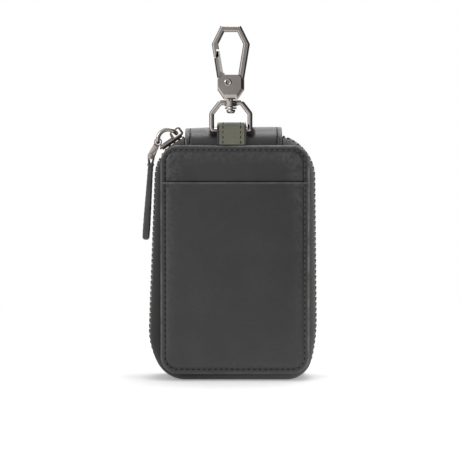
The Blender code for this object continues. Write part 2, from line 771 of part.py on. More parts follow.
def hoop_outline():
    """The bar from the base's right side, over the top, and down to the nose on the left."""
    inner_shoulder = HOOK_SHOULDER_HALF_WIDTH - HOOK_BAR
    inner_top = HOOK_TOP_HALF_WIDTH - HOOK_BAR / 2
    lap_top = HOOK_NOSE_HEIGHT + HOOK_LAP_HEIGHT
    root = BASE_HIGH_CORNER - HOOK_BAR / 2
    nose = HOOK_NOSE_HEIGHT - HOOK_NOSE_SLANT
    return [
        (hook_side(root), root), (HOOK_SHOULDER_HALF_WIDTH, HOOK_SHOULDER_HEIGHT),
        (HOOK_TOP_HALF_WIDTH, HOOK_HEIGHT), (-HOOK_TOP_HALF_WIDTH, HOOK_HEIGHT),
        (-HOOK_SHOULDER_HALF_WIDTH, HOOK_SHOULDER_HEIGHT), (-hook_side(nose), nose),
        (-hook_side(HOOK_NOSE_HEIGHT, HOOK_LAP), HOOK_NOSE_HEIGHT), (-hook_side(lap_top, HOOK_LAP), lap_top),
        (-hook_side(lap_top, HOOK_BAR), lap_top), (-inner_shoulder, HOOK_SHOULDER_HEIGHT),
        (-inner_top, HOOK_HEIGHT - HOOK_BAR), (inner_top, HOOK_HEIGHT - HOOK_BAR),
        (inner_shoulder, HOOK_SHOULDER_HEIGHT), (hook_side(root, HOOK_BAR), root),
    ]


def base_outline():
    """The eight-sided plate that carries the gate's pin and the swivel."""
    right = [
        (BASE_FOOT_HALF_WIDTH, 0), (BASE_HALF_WIDTH, BASE_LOW_CORNER),
        (BASE_HALF_WIDTH, BASE_HIGH_CORNER), (BASE_HEAD_HALF_WIDTH, BASE_HEIGHT),
    ]
    return right + [(-x, z) for x, z in right[::-1]]


def on_hook(outline):
    """An outline about the hook's base, set in the world's X and Z."""
    base = hook_base()
    return [(base.x + x, base.z + z) for x, z in outline]


def gate_slot():
    """The slot in the base that the gate's tail turns in, as wide as its travel."""
    pivot_x, pivot_z = GATE_PIVOT_OFFSET, GATE_PIVOT_HEIGHT
    reach = GATE_EYE_RADIUS + 2 * GAP
    top = BASE_HEIGHT + OVERRUN
    outline = [
        (pivot_x + reach, pivot_z), (pivot_x + reach, BASE_HIGH_CORNER), (pivot_x + reach / 2, top),
        (-BASE_HALF_WIDTH - OVERRUN, top), (-BASE_HALF_WIDTH - OVERRUN, BASE_HIGH_CORNER),
        (pivot_x - reach, pivot_z),
    ]
    for step in range(1, PIN_SIDES // 2):
        turn = math.pi * (1 + 2 * step / PIN_SIDES)
        outline.append((pivot_x + reach * math.cos(turn), pivot_z + reach * math.sin(turn)))
    depth = hook_base().y
    return front_prism(on_hook(outline), depth - GATE_SLOT_WIDTH / 2, depth + GATE_SLOT_WIDTH / 2)


def hook_body(finish):
    """The faceted hoop and its base, slotted for the gate and bored for the pin and the post."""
    base = hook_base()
    plate = chamfered_plate(on_hook(base_outline()), base.y, BASE_THICKNESS, BASE_CHAMFER)
    part = add_object("hook_body", plate, finish, base)
    hoop = chamfered_plate(on_hook(hoop_outline()), base.y, HOOK_THICKNESS, HOOK_CHAMFER)
    combine(part, "UNION", "hoop", hoop)
    combine(part, "DIFFERENCE", "gate_slot", gate_slot())
    bore = GATE_PIN_RADIUS + GAP
    front = gate_pivot() - Vector((0, BASE_THICKNESS, 0))
    combine(part, "DIFFERENCE", "pin_bore", pin(bore, front, 2 * BASE_THICKNESS, (0, 1, 0)))
    below = base - Vector((0, 0, OVERRUN))
    seat = pin(POST_RADIUS + GAP, below, POST_SEAT_DEPTH + OVERRUN, (0, 0, 1))
    return combine(part, "DIFFERENCE", "post_seat", seat)


def gate(finish):
    """The gate's arm, its lap inside the nose, and its thin tail on the pin."""
    base, pivot = hook_base(), gate_pivot()
    foot = BASE_HEIGHT + GAP
    head = HOOK_NOSE_HEIGHT - GAP
    outer_head = head - HOOK_NOSE_SLANT
    tip = HOOK_NOSE_HEIGHT + HOOK_LAP_HEIGHT - 2 * GAP
    lap = HOOK_LAP + GAP
    arm = [
        (-hook_side(foot), foot), (-hook_side(foot, HOOK_BAR), foot), (-hook_side(tip, HOOK_BAR), tip),
        (-hook_side(tip, lap), tip), (-hook_side(head, lap), head), (-hook_side(outer_head), outer_head),
    ]
    plate = chamfered_plate(on_hook(arm), base.y, HOOK_THICKNESS, HOOK_LAP / 3)
    part = add_object("gate", plate, finish, pivot)
    near = base.y - GATE_TAIL_OFFSET - GATE_TAIL_THICKNESS / 2
    far = near + GATE_TAIL_THICKNESS
    tail = [
        (GATE_PIVOT_OFFSET + GATE_EYE_RADIUS * 0.8, GATE_PIVOT_HEIGHT + GATE_EYE_RADIUS * 0.6),
        (-hook_side(foot, HOOK_BAR - HOOK_CHAMFER), foot + HOOK_BAR), (-hook_side(foot, HOOK_CHAMFER), foot + HOOK_BAR),
        (-hook_side(foot, HOOK_CHAMFER), foot), (GATE_PIVOT_OFFSET - GATE_EYE_RADIUS * 0.9, GATE_PIVOT_HEIGHT),
    ]
    combine(part, "UNION", "tail", front_prism(on_hook(tail), near, far))
    eye = pin(GATE_EYE_RADIUS, Vector((pivot.x, near, pivot.z)), GATE_TAIL_THICKNESS, (0, 1, 0), 20)
    combine(part, "UNION", "eye", eye)
    front = pivot - Vector((0, BASE_THICKNESS, 0))
    bore = pin(GATE_PIN_RADIUS + GAP, front, 2 * BASE_THICKNESS, (0, 1, 0))
    return combine(part, "DIFFERENCE", "pin_bore", bore)


def gate_pin(finish):
    """The rivet that the gate turns on, headed on both faces of the base."""
    pivot = gate_pivot()
    face = BASE_THICKNESS / 2 + GAP
    dimple = GATE_PIN_HEAD_RADIUS * 0.5
    outer = face + GATE_PIN_HEAD_HEIGHT
    profile = [
        (0, -outer + GATE_PIN_HEAD_HEIGHT / 2), (dimple, -outer), (GATE_PIN_HEAD_RADIUS, -outer),
        (GATE_PIN_HEAD_RADIUS, -face), (GATE_PIN_RADIUS, -face), (GATE_PIN_RADIUS, face),
        (GATE_PIN_HEAD_RADIUS, face), (GATE_PIN_HEAD_RADIUS, outer), (dimple, outer),
        (0, outer - GATE_PIN_HEAD_HEIGHT / 2),
    ]
    return add_object("gate_pin", turned(profile, pivot, (0, 1, 0)), finish, pivot)


def gate_spring(finish):
    """The torsion spring beside the gate's tail: turns round the pin, and a leg down in the slot."""
    pivot = gate_pivot()
    tail_side = -GATE_TAIL_OFFSET + GATE_TAIL_THICKNESS / 2 + GAP / 2
    slot_side = GATE_SLOT_WIDTH / 2 - GAP / 2
    first, last = tail_side + SPRING_WIRE / 2, slot_side - SPRING_WIRE / 2
    steps = 14
    points = []
    leg_share = 0.75
    points.append(pivot + Vector((SPRING_RADIUS, first, -SPRING_LEG * leg_share)))
    for step in range(int(SPRING_TURNS * steps) + 1):
        turn = math.tau * step / steps
        depth = first + (last - first) * step / (SPRING_TURNS * steps)
        points.append(pivot + Vector((SPRING_RADIUS * math.cos(turn), depth, SPRING_RADIUS * math.sin(turn))))
    normals = [(0, 1, 0)] * len(points)
    return add_object("gate_spring", tube(points, normals, SPRING_WIRE / 2, 6, closed=False), finish, pivot)


# The slider, in places along the zip's line (toward the mouth), out from it, and across

def slider_frame():
    """The slider's middle on the zip's line, with its directions toward the mouth and outward."""
    angle = math.radians(SLIDER_DEGREES)
    outward = Vector((math.cos(angle), 0, math.sin(angle)))
    mouthward = Vector((math.sin(angle), 0, -math.cos(angle)))
    centre = Vector((-TOP_ARC_X, 0, TOP_ARC_Z))
    return centre + outward * ZIP_LINE_TOP_RADIUS, mouthward, outward


def slider_point(along, out, across):
    """A point of the slider in the world."""
    middle, mouthward, outward = slider_frame()
    return middle + mouthward * along + outward * out + Vector((0, across, 0))


def slider_place(along, across, out):
    """A point of the slider for a plan drawn along and across it."""
    return slider_point(along, out, across)


def slider_axis():
    """The middle of the corner that the slider travels round."""
    return Vector((-TOP_ARC_X, 0, TOP_ARC_Z))


def plate_floor():
    """How far out the under face of the slider's top plate lies."""
    return TOOTH_DEPTH / 2 + GAP


def plate_top():
    """How far out the upper face of the slider's top plate lies."""
    return plate_floor() + SLIDER_PLATE


def link_pivot():
    """The middle of the link's bar under the crown."""
    return slider_point(CROWN_MIDDLE, plate_top() + GAP + LINK_WIRE / 2, 0)


def slider_top(finish):
    """The slider's top plate with its side lips, and the crown that holds the link."""
    floor, top = plate_floor(), plate_top()
    half, rear = SLIDER_WIDTH / 2, SLIDER_REAR_WIDTH / 2
    corners = [(-SLIDER_REAR, -rear), (SLIDER_MOUTH, -half), (SLIDER_MOUTH, half), (-SLIDER_REAR, rear)]
    plan = rounded_outline(corners, [SLIDER_PLATE] * 4, 3)
    part = add_object("slider_top", prism(plan, floor, top, slider_place), finish)
    move_origin(part, slider_axis())
    lip_top = (floor + top) / 2
    lip_low = floor - SLIDER_LIP_DROP
    outer = rear - GAP
    inner = outer - SLIDER_LIP_WIDTH
    lip_plan = [(-SLIDER_REAR + SLIDER_PLATE, inner), (SLIDER_MOUTH - SLIDER_PLATE, inner)]
    lip_plan += [(SLIDER_MOUTH - SLIDER_PLATE, outer), (-SLIDER_REAR + SLIDER_PLATE, outer)]
    for name, side in (("front_lip", -1), ("back_lip", 1)):
        sided_plan = [(along, side * across) for along, across in lip_plan]
        lip = prism(sided_plan, lip_low, lip_top, slider_place)
        combine(part, "UNION", name, lip)
    ceiling = top + 2 * GAP + LINK_WIRE
    start, end = CROWN_MIDDLE - CROWN_WINDOW / 2, CROWN_MIDDLE + CROWN_WINDOW / 2
    sunk = (floor + top) / 2
    arch = [
        (start - CROWN_LEG - CROWN_STRIP, sunk), (start, sunk), (start, ceiling), (end, ceiling), (end, sunk),
        (end + CROWN_LEG, sunk), (end + CROWN_LEG, ceiling), (end, ceiling + CROWN_STRIP),
        (start, ceiling + CROWN_STRIP), (start - CROWN_LEG, ceiling),
    ]
    crown = prism(arch, -CROWN_WIDTH / 2, CROWN_WIDTH / 2, slider_point)
    return combine(part, "UNION", "crown", crown)


def move_origin(part, pivot):
    """Set an object's origin on its pivot without moving its shape."""
    part.data.transform(Matrix.Translation(-Vector(pivot)))
    part.location = pivot


def slider_inner(finish):
    """The slider's inner plate, set in far enough to clear the curved row of teeth."""
    inner_teeth = ZIP_LINE_TOP_RADIUS - TOOTH_DEPTH / 2 - GAP
    top = math.sqrt(inner_teeth**2 - SLIDER_INNER_REAR**2) - ZIP_LINE_TOP_RADIUS
    plan = box_outline(
        -SLIDER_INNER_REAR, SLIDER_INNER_MOUTH, -TOOTH_LENGTH, TOOTH_LENGTH, SLIDER_PLATE, SLIDER_PLATE, 3
    )
    bottom = top - SLIDER_INNER_THICKNESS
    part = add_object("slider_inner", prism(plan, bottom, top, slider_place), finish)
    move_origin(part, slider_axis())
    return part


# The pull: link, clasp, pin and leather

def link_end():
    """The middle of the link's bar in the clasp."""
    return slider_point(-LINK_END_SETBACK, LINK_END_LIFT, 0)


def link_arc():
    """Centre, start angle and sweep of the link's arch, from the crown to the clasp."""
    start, end = link_pivot(), link_end()
    chord = end - start
    middle = (start + end) / 2
    square = Vector((-chord.z, 0, chord.x)).normalized()
    centre = middle + square * math.sqrt(LINK_RADIUS**2 - (chord.length / 2) ** 2)
    first = math.atan2(start.z - centre.z, start.x - centre.x)
    last = math.atan2(end.z - centre.z, end.x - centre.x) % math.tau
    return centre, first, last - first


def pull_link(finish):
    """A closed wire loop, bent to an arch: one bar lies under the crown and the other in the clasp."""
    centre, first, sweep = link_arc()
    length = LINK_RADIUS * sweep
    flat = box_outline(0, length, -LINK_WIDTH / 2, LINK_WIDTH / 2, LINK_CORNER, LINK_CORNER, 3)
    sides = []
    for index, (along, across) in enumerate(flat):
        sides.append((along, across))
        following = flat[(index + 1) % len(flat)]
        if abs(following[0] - along) > LINK_RADIUS:
            for step in range(1, 7):
                sides.append((along + (following[0] - along) * step / 7, across))
    points, normals = [], []
    for along, across in sides:
        angle = first + along / LINK_RADIUS
        outward = Vector((math.cos(angle), 0, math.sin(angle)))
        points.append(centre + outward * LINK_RADIUS + Vector((0, across, 0)))
        normals.append(outward)
    return add_object("pull_link", tube(points, normals, LINK_WIRE / 2, LINK_SIDES), finish, link_pivot())


def pull_pivot():
    """The middle of the clasp's pin."""
    return link_end() + Vector((-CLASP_LEAN, 0, -CLASP_DROP))


def clasp_point(along, out):
    """A point in X and Z, along the clasp from the link's bar to the pin and out to its left."""
    start, end = link_end(), pull_pivot()
    direction = (end - start).normalized()
    left = Vector((direction.z, 0, -direction.x))
    place = start + direction * along + left * out
    return place.x, place.z


def pull_clasp(finish):
    """A barrel on the link's bar, and a yoke whose two cheeks carry the pin."""
    start, end = link_end(), pull_pivot()
    length = (end - start).length
    half = CLASP_HALF_THICKNESS
    barrel_start = start - Vector((0, CLASP_BARREL_WIDTH / 2, 0))
    barrel = pin(CLASP_BARREL_RADIUS, barrel_start, CLASP_BARREL_WIDTH, (0, 1, 0))
    part = add_object("pull_clasp", barrel, finish)
    move_origin(part, start)
    tip = length + half
    yoke_plan = [
        (CLASP_YOKE_SETBACK, -half * 0.8), (length, -half), (tip - half * 0.3, -half * 0.7), (tip, 0),
        (tip - half * 0.3, half * 0.7), (length, half), (CLASP_YOKE_SETBACK, half * 0.8),
    ]
    yoke = front_prism([clasp_point(*point) for point in yoke_plan], -CLASP_WIDTH / 2, CLASP_WIDTH / 2)
    combine(part, "UNION", "yoke", yoke)
    neck_plan = [(0, -half * 0.8), (CLASP_YOKE_SETBACK + half, -half * 0.8)]
    neck_plan += [(CLASP_YOKE_SETBACK + half, half * 0.8), (0, half * 0.8)]
    neck_half = CLASP_BARREL_WIDTH / 2 - GAP / 2
    neck = front_prism([clasp_point(*point) for point in neck_plan], -neck_half, neck_half)
    combine(part, "UNION", "neck", neck)
    bar_bore = LINK_WIRE / 2 + GAP
    before = start - Vector((0, CLASP_WIDTH, 0))
    combine(part, "DIFFERENCE", "link_bore", pin(bar_bore, before, 2 * CLASP_WIDTH, (0, 1, 0)))
    inner = CLASP_WIDTH / 2 - CLASP_CHEEK
    slot_start = length - PULL_THICKNESS / 2 - 2 * GAP
    slot_plan = [(slot_start, -2 * half), (tip + OVERRUN, -2 * half), (tip + OVERRUN, 2 * half), (slot_start, 2 * half)]
    slot = front_prism([clasp_point(*point) for point in slot_plan], -inner, inner)
    combine(part, "DIFFERENCE", "pull_slot", slot)
    pin_bore = CLASP_PIN_RADIUS + GAP
    before = end - Vector((0, CLASP_WIDTH, 0))
    return combine(part, "DIFFERENCE", "pin_bore", pin(pin_bore, before, 2 * CLASP_WIDTH, (0, 1, 0)))


def clasp_pin(finish):
    """The headed pin through the clasp's cheeks and the leather's loop."""
    face = CLASP_WIDTH / 2 + GAP
    outer = face + CLASP_PIN_HEAD_HEIGHT
    profile = [
        (0, -outer), (CLASP_PIN_HEAD_RADIUS, -outer), (CLASP_PIN_HEAD_RADIUS, -face), (CLASP_PIN_RADIUS, -face),
        (CLASP_PIN_RADIUS, face), (CLASP_PIN_HEAD_RADIUS, face), (CLASP_PIN_HEAD_RADIUS, outer), (0, outer),
    ]
    return add_object("clasp_pin", turned(profile, pull_pivot(), (0, 1, 0), 12), finish, link_end())


def leather_pull(finish):
    """The folded and sewn leather pull, looped round the clasp's pin."""
    pivot = pull_pivot()
    down = Vector((-PULL_LEAN, 0, -PULL_LENGTH)).normalized()
    aside = Vector((-down.z, 0, down.x))

    def place(out, along, across):
        return pivot + down * along + aside * out + Vector((0, across, 0))

    half, width = PULL_THICKNESS / 2, PULL_WIDTH / 2
    end = PULL_LENGTH
    corner = PULL_END_ROUNDING
    face = rounded_outline([(PULL_NECK, -width), (end, -width), (end, width), (PULL_NECK, width)],
                           [PULL_EDGE_ROUNDING, corner, corner, PULL_EDGE_ROUNDING], 4)
    body = prism(face, -half, half, lambda along, across, out: place(out, along, across))
    part = add_object("leather_pull", body, finish)
    move_origin(part, pivot)
    round_edges(part, PULL_EDGE_ROUNDING, 1)
    neck_half = CLASP_WIDTH / 2 - CLASP_CHEEK - GAP
    loop_half = half - PULL_EDGE_ROUNDING / 2
    turns = [math.pi * step / 8 for step in range(9)]
    neck = [(loop_half * math.cos(turn), -loop_half * math.sin(turn)) for turn in turns]
    neck += [(-loop_half, PULL_NECK + half), (loop_half, PULL_NECK + half)]
    loop = prism(neck, -neck_half, neck_half, place)
    combine(part, "UNION", "loop", loop)
    before = pivot - Vector((0, CLASP_WIDTH, 0))
    bore = pin(CLASP_PIN_RADIUS + GAP, before, 2 * CLASP_WIDTH, (0, 1, 0), 12)
    return combine(part, "DIFFERENCE", "pin_bore", bore)


# Key plate and key hooks, on the back lining

def plate_face():
    """Depth of the key plate's face, which looks into the case."""
    return LINING_BACK - GAP - PLATE_THICKNESS


def plate_top_height():
    """Height of the key plate's top edge."""
    return PANEL_TOP - PLATE_TOP_DROP


def key_places():
    """The pivots of the key hooks along the plate."""
    height = plate_top_height() - KEY_STUD_DROP
    first = -KEY_HOOK_SPACING * (KEY_HOOK_COUNT - 1) / 2
    depth = plate_face() - GAP - KEY_HOOK_THICKNESS / 2
    return [Vector((first + KEY_HOOK_SPACING * index, depth, height)) for index in range(KEY_HOOK_COUNT)]


def rivet_places():
    """The two rivets at the ends of the key plate."""
    height = plate_top_height() - PLATE_HEIGHT / 2
    reach = PLATE_WIDTH / 2 - PLATE_RIVET_INSET - PLATE_RIVET_RADIUS
    return [Vector((-reach, plate_face(), height)), Vector((reach, plate_face(), height))]


def key_plate(finish):
    """The metal plate riveted to the back lining, bored for its rivets and the hooks' studs."""
    top = plate_top_height()
    outline = box_outline(-PLATE_WIDTH / 2, PLATE_WIDTH / 2, top - PLATE_HEIGHT, top, PLATE_CORNER, PLATE_CORNER, 3)
    face = plate_face()
    part = add_object("key_plate", front_prism(outline, face, face + PLATE_THICKNESS), finish)
    holes = [(place, PLATE_RIVET_RADIUS) for place in rivet_places()]
    holes += [(place, KEY_STUD_RADIUS) for place in key_places()]
    for index, (place, radius) in enumerate(holes):
        start = Vector((place.x, face - OVERRUN, place.z))
        hole = pin(radius + GAP, start, PLATE_THICKNESS + 2 * OVERRUN, (0, 1, 0), 12)
        combine(part, "DIFFERENCE", f"hole_{index + 1}", hole)
    return part


def headed_stud(name, place, radius, head_radius, head_height, grip, finish):
    """A stud seated in the key plate, with its head toward the inside of the case."""
    tip = PLATE_THICKNESS - GAP / 2
    face = -grip
    profile = [(0, face - head_height), (head_radius, face - head_height), (head_radius, face)]
    profile += [(radius, face), (radius, tip), (0, tip)]
    seat = Vector((place.x, plate_face(), place.z))
    return add_object(name, turned(profile, seat, (0, 1, 0), 12), finish, seat)


def key_hook(name, pivot, finish):
    """A flat key hook: its eye, its shank, and its bow round to the mouth."""
    half = KEY_HOOK_HALF_WIDTH
    bar = KEY_HOOK_BAR
    bow_top, bottom = -KEY_HOOK_MOUTH_TOP + bar, -KEY_HOOK_LENGTH
    outer = rounded_outline([(-half, bottom), (half, bottom), (half, bow_top), (-half, bow_top)],
                            [half * 0.99, half * 0.99, bar, bar], 4)
    inner_half = half - bar
    inner = rounded_outline(
        [(-inner_half, bottom + bar), (inner_half, bottom + bar), (inner_half, bow_top - bar), (-inner_half, bow_top - bar)],
        [inner_half * 0.98, inner_half * 0.98, bar / 2, bar / 2], 4,
    )

    def placed(outline, front, back):
        shape = [(pivot.x + x, pivot.z + z) for x, z in outline]
        return front_prism(shape, pivot.y + front, pivot.y + back)

    thick = KEY_HOOK_THICKNESS / 2
    part = add_object(name, placed(outer, -thick, thick), finish)
    move_origin(part, pivot)
    combine(part, "DIFFERENCE", "bow", placed(inner, -OVERRUN, OVERRUN))
    shank = [(-bar * 0.9, bow_top - bar / 2), (bar * 0.9, bow_top - bar / 2), (bar * 0.9, 0), (-bar * 0.9, 0)]
    combine(part, "UNION", "shank", placed(shank, -thick, thick))
    eye_start = pivot - Vector((0, thick, 0))
    eye = pin(KEY_HOOK_EYE_RADIUS, eye_start, KEY_HOOK_THICKNESS, (0, 1, 0))
    combine(part, "UNION", "eye", eye)
    bore_start = pivot - Vector((0, OVERRUN, 0))
    bore = pin(KEY_STUD_RADIUS + GAP, bore_start, 2 * OVERRUN, (0, 1, 0), 12)
    combine(part, "DIFFERENCE", "stud_bore", bore)
    mouth_top = -KEY_HOOK_MOUTH_TOP
    mouth = [(inner_half - bar, mouth_top - KEY_HOOK_MOUTH), (half + bar, mouth_top - KEY_HOOK_MOUTH)]
    mouth += [(half + bar, mouth_top), (inner_half - bar, mouth_top)]
    return combine(part, "DIFFERENCE", "mouth", placed(mouth, -OVERRUN, OVERRUN))


def key_leaf(name, pivot, finish):
    """The spring leaf that closes a key hook's mouth from inside."""
    right = KEY_HOOK_HALF_WIDTH - KEY_HOOK_BAR - GAP
    left = right - KEY_LEAF_THICKNESS
    top = -KEY_HOOK_MOUTH_TOP - GAP
    bottom = top - KEY_HOOK_MOUTH - KEY_HOOK_BAR
    outline = [(pivot.x + x, pivot.z + z) for x, z in ((left, bottom), (right, bottom), (right, top), (left, top))]
    thick = KEY_HOOK_THICKNESS / 2
    part = add_object(name, front_prism(outline, pivot.y - thick, pivot.y + thick), finish)
    move_origin(part, pivot)
    return part


# The whole object

def build_back_half(leather, cloth, woven, teeth, steel):
    """The back panel with its lining, its half of the zip and the key plate."""
    panel("back_panel", 1, leather)
    lining("back_lining", 1, cloth)
    zip_tape("back_zip_tape", 1, woven)
    start, end = back_row_ends()
    zip_chain("back_zip_chain", 1, start, end, teeth)
    zip_stop("back_stop_left", 1, 0, teeth)
    zip_stop("back_stop_right", 1, ZIP_LENGTH - STOP_WIDTH, teeth)
    key_plate(steel)
    for name, place in zip(("plate_rivet_left", "plate_rivet_right"), rivet_places()):
        headed_stud(name, place, PLATE_RIVET_RADIUS, PLATE_RIVET_HEAD_RADIUS, PLATE_RIVET_HEAD_HEIGHT, GAP, steel)
    for index, pivot in enumerate(key_places(), 1):
        grip = KEY_HOOK_THICKNESS + 2 * GAP
        headed_stud(f"key_stud_{index}", pivot, KEY_STUD_RADIUS, KEY_STUD_HEAD_RADIUS, KEY_STUD_HEAD_HEIGHT, grip, steel)
        key_hook(f"key_hook_{index}", pivot, steel)
        key_leaf(f"key_leaf_{index}", pivot, steel)


def build_front_half(leather, cloth, woven, teeth):
    """The front cover: its panel, card pocket, lining and half of the zip."""
    panel("front_panel", -1, leather)
    card_pocket(leather)
    lining("front_lining", -1, cloth)
    zip_tape("front_zip_tape", -1, woven)
    zip_chain("front_zip_chain", -1, front_row_start(), ZIP_LENGTH - STOP_WIDTH - GAP, teeth)
    zip_stop("front_stop_left", -1, 0, teeth)
    zip_stop("front_stop_right", -1, ZIP_LENGTH - STOP_WIDTH, teeth)


def build_top(leather, olive, gunmetal, steel):
    """The bridge, the strap, the swivel eye and the snap hook."""
    top_bridge(leather)
    strap_layer("strap_backing", 0, STRAP_WIDTH + 2 * STRAP_BACKING_MARGIN, leather)
    strap_layer("loop_strap", STRAP_LAYER + GAP, STRAP_WIDTH, olive)
    swivel_eye(gunmetal)
    swivel_post(gunmetal)
    swivel_washer(gunmetal)
    hook_body(gunmetal)
    gate(gunmetal)
    gate_pin(gunmetal)
    gate_spring(steel)


def build_puller(leather, gunmetal):
    """The slider and what hangs from it."""
    slider_top(gunmetal)
    slider_inner(gunmetal)
    pull_link(gunmetal)
    pull_clasp(gunmetal)
    clasp_pin(gunmetal)
    leather_pull(leather)


def centre_over_origin():
    """Move every object so that the middle of the whole footprint lies over the origin."""
    bpy.context.view_layer.update()
    shown = [part for part in bpy.data.objects if not part.hide_render]
    corners = [part.matrix_world @ Vector(corner) for part in shown for corner in part.bound_box]
    middle_x = (min(corner.x for corner in corners) + max(corner.x for corner in corners)) / 2
    middle_y = (min(corner.y for corner in corners) + max(corner.y for corner in corners)) / 2
    lowest = min(corner.z for corner in corners)
    for part in bpy.data.objects:
        part.location -= Vector((middle_x, middle_y, lowest))
    bpy.context.view_layer.update()
    return Vector((middle_x, middle_y, lowest))


def print_axes(shift):
    """The joint axes' places in the finished frame, in millimetres."""
    seam = Vector((0, -PANEL_FACE, PANEL_TOP + GAP))
    places = {
        "front seam": seam, "swivel eye": eye_pivot(), "hook swivel": hook_base(), "gate": gate_pivot(),
        "slider": slider_axis(), "link": link_pivot(), "clasp": link_end(), "pull": pull_pivot(),
    }
    for index, pivot in enumerate(key_places(), 1):
        places[f"key hook {index}"] = pivot
    for name, place in places.items():
        print("axis", name, [round(value * 1000, 4) for value in place - shift])


def main():
    for part in list(bpy.data.objects):
        bpy.data.objects.remove(part)
    leather = material("dark_leather", (0.045, 0.045, 0.045), 0.5, 0)
    olive = material("olive_leather", (0.15, 0.15, 0.12), 0.55, 0)
    cloth = material("lining_cloth", (0.03, 0.03, 0.03), 0.8, 0)
    woven = material("woven_tape", (0.035, 0.035, 0.035), 0.85, 0)
    teeth = material("zip_metal", (0.22, 0.20, 0.19), 0.35, 1)
    gunmetal = material("gunmetal", (0.28, 0.26, 0.25), 0.25, 1)
    steel = material("nickel_steel", (0.5, 0.49, 0.48), 0.3, 1)
    build_back_half(leather, cloth, woven, teeth, steel)
    build_front_half(leather, cloth, woven, teeth)
    build_top(leather, olive, gunmetal, steel)
    build_puller(leather, gunmetal)
    for part in bpy.data.objects:
        part.data.set_sharp_from_angle(angle=math.radians(35))
    print_axes(centre_over_origin())


main()
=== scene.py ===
# %% [markdown]
# A zip-round key holder
#
# The real object is a slim leather case for keys. Two stiffened leather panels are joined by a metal zip
# that runs round three sides. A leather bridge closes the top, an olive strap goes over it, and the strap
# holds a swivel eye with a snap hook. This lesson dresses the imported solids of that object. Every solid
# already stands in the right place, so the lesson never guesses a position: it reads the solids' boxes and
# builds the finer pieces there.

# %% Load the frame
import math

import bmesh
import bpy
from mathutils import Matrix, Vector, noise


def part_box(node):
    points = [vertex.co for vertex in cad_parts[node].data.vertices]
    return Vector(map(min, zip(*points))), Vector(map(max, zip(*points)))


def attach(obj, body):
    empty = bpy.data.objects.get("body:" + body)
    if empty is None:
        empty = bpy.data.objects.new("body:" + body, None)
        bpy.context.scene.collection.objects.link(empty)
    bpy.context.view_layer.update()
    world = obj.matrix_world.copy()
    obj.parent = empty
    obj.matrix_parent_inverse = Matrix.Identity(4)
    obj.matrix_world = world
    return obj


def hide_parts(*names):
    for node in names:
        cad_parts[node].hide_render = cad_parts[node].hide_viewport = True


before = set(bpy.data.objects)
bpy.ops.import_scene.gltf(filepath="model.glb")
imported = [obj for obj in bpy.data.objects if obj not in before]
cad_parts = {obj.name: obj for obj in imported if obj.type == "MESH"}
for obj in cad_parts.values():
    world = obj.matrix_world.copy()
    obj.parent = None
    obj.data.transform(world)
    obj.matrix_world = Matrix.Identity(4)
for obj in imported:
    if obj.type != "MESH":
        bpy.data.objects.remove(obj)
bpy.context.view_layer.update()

# %% [markdown]
# Working in millimetres from the middle of the case
#
# A maker of small leather goods measures in millimetres from the middle of the panel, so the lesson does
# the same. One function turns such a point into the frame's metres. Its origin comes from the boxes of the
# two panels.

# %% The case's own millimetres
MM = 0.001
front_box, back_box, bridge_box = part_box("front_panel"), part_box("back_panel"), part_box("top_bridge")
CASE_X = (front_box[0].x + front_box[1].x) / 2
CASE_Y = (front_box[0].y + back_box[1].y) / 2
PANEL_HALF = (front_box[1].x - front_box[0].x) / 2 / MM
PANEL_BOTTOM, PANEL_TOP = front_box[0].z / MM, front_box[1].z / MM
PANEL_FACE = (back_box[1].y - CASE_Y) / MM
PANEL_BACK = (back_box[0].y - CASE_Y) / MM
BRIDGE_LEFT, BRIDGE_RIGHT = (bridge_box[0].x - CASE_X) / MM, (bridge_box[1].x - CASE_X) / MM


def to_frame(point):
    """A point in the case's millimetres, as a point of the frame in metres."""
    x, y, z = point
    return Vector((CASE_X + x * MM, CASE_Y + y * MM, z * MM))


def to_case(point):
    """A point of the frame, in the case's millimetres."""
    return Vector(((point[0] - CASE_X) / MM, (point[1] - CASE_Y) / MM, point[2] / MM))


print("panel half width", round(PANEL_HALF, 2), "from", round(PANEL_BOTTOM, 2), "to", round(PANEL_TOP, 2))
print("bridge from", round(BRIDGE_LEFT, 2), "to", round(BRIDGE_RIGHT, 2))

# %% [markdown]
# The camera
#
# The photograph looks straight at the front from slightly above, and from far away, so that the sides
# hardly taper. A long lens at one metre gives the same flat drawing. The place and lens were fitted to tie
# points of the photograph: the panel's edges, the top of the hook, the base and the right side of the zip.

# %% Camera
CAMERA_DISTANCE, LENS_LENGTH, SENSOR_WIDTH, NEAREST = 1.0, 177.3, 36, 0.01
CAMERA_ELEVATION = math.radians(3.98)
CAMERA_AIM = Vector((0.000194, 0, 0.06531))


def add_object(name, data):
    """A new object in the scene."""
    made = bpy.data.objects.new(name, data)
    bpy.context.scene.collection.objects.link(made)
    return made


lens = bpy.data.cameras.new("camera")
lens.lens = LENS_LENGTH
lens.sensor_width = SENSOR_WIDTH
lens.clip_start = NEAREST
camera = add_object("camera", lens)
toward_camera = Vector((0, -math.cos(CAMERA_ELEVATION), math.sin(CAMERA_ELEVATION)))
camera.location = CAMERA_AIM + toward_camera * CAMERA_DISTANCE
camera.rotation_euler = (math.pi / 2 - CAMERA_ELEVATION, 0, 0)
bpy.context.scene.camera = camera
bpy.context.scene.view_settings.view_transform = "Standard"
print("camera at", [round(v, 3) for v in camera.location])

# %% [markdown]
# Building node trees with little text
#
# Every finish below is a tree of nodes. One helper adds a node and fills its inputs with numbers or with
# other nodes' outputs, the next ones give the few sums that finishes need, and the last two start and end a
# named group.

